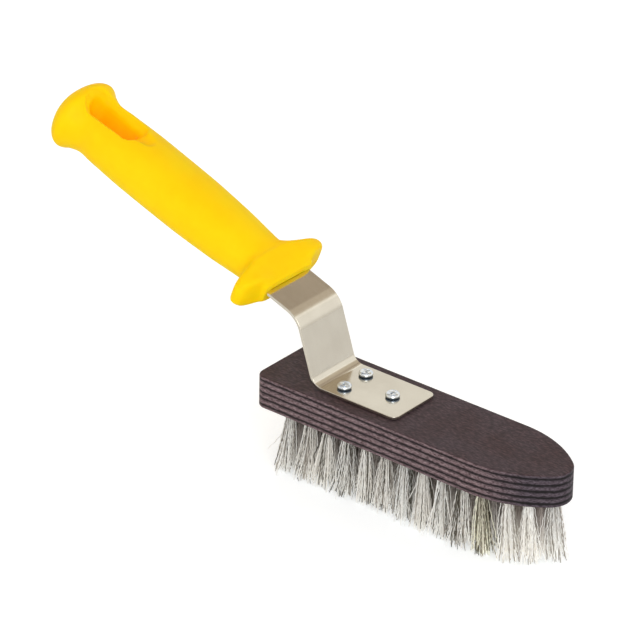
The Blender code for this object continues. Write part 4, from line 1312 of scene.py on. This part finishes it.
def tuft_tone(chance, number, x, y):
    """The tone that all the wires of one tuft share, with painted shade behind the nose."""
    warmth = chance.uniform(0.0, WARMTH)
    if (number, y < -2 * TUFT_PITCH + MM) == OILY_TUFT:
        return OILY_TONE
    # painted shade: tufts behind the nose come out darker
    clean = 1.0 - REAR_PAINTED_SHADE * min(max((NOSE_ROWS[0][0] - x) / ROW_PITCH, 0.0), 1.0)
    return [clean * 0.98, clean * (0.985 - warmth / 2), clean * (0.955 - warmth)]


def inner_shade_share(x, y):
    """Painted shade share: 0 on the outer tufts, 1 on those a pitch or more inside them."""
    from_edge = min(half_width_at(x) - abs(y), BLOCK_TIP - x)
    return min(max((from_edge - EDGE_MARGIN) / TUFT_PITCH, 0.0), 1.0)


chance = random.Random(11)
count = len(wire_points)
for number, row in enumerate(tuft_places, start=1):
    copies, wire_tones_and_shade, inner_shade = [], [], []
    for x, y in row:
        made, shades = tuft_wires(chance, x, y, tuft_tone(chance, number, x, y))
        copies += made
        wire_tones_and_shade += shades
        inner_shade += [inner_shade_share(x, y)] * len(made) * count
    points = np.concatenate(copies)
    points[:, 2] = np.maximum(points[:, 2], 0.0)
    faces = [[index + count * copy for index in face]
             for copy in range(len(copies)) for face in wire_faces]
    mesh = bpy.data.meshes.new(f"wire_row_{number:02d}")
    mesh.from_pydata(points.tolist(), [], faces)
    colours = np.ones((len(points), 4))
    colours[:, :3] = np.repeat(np.array(wire_tones_and_shade), count, axis=0)
    height = np.clip(points[:, 2] / BLOCK_UNDER, 0.0, 1.0)
    # painted shade on the inner tufts, strongest next to the block
    colours[:, :3] *= 1 - (np.array(inner_shade) * height ** INNER_SHADE_POWER)[:, None] * INNER_PAINTED_SHADE
    tone_and_shade = mesh.color_attributes.new("wire_tone_and_shade", "FLOAT_COLOR", "POINT")
    tone_and_shade.data.foreach_set("color", colours.ravel())
    wires = bpy.data.objects.new(f"wire_row_{number:02d}", mesh)
    bpy.context.scene.collection.objects.link(wires)
    finish_piece(wires, tuft_wire, [f"tuft_row_{number:02d}"], smooth_below=40)

# %% [markdown]
# ## Finish
#
# The view layer is brought up to date, so that every piece stands where it was put. The
# dressed brush has to stay within about a millimetre of the CAD model's box.

# %% Finish
bpy.context.view_layer.update()
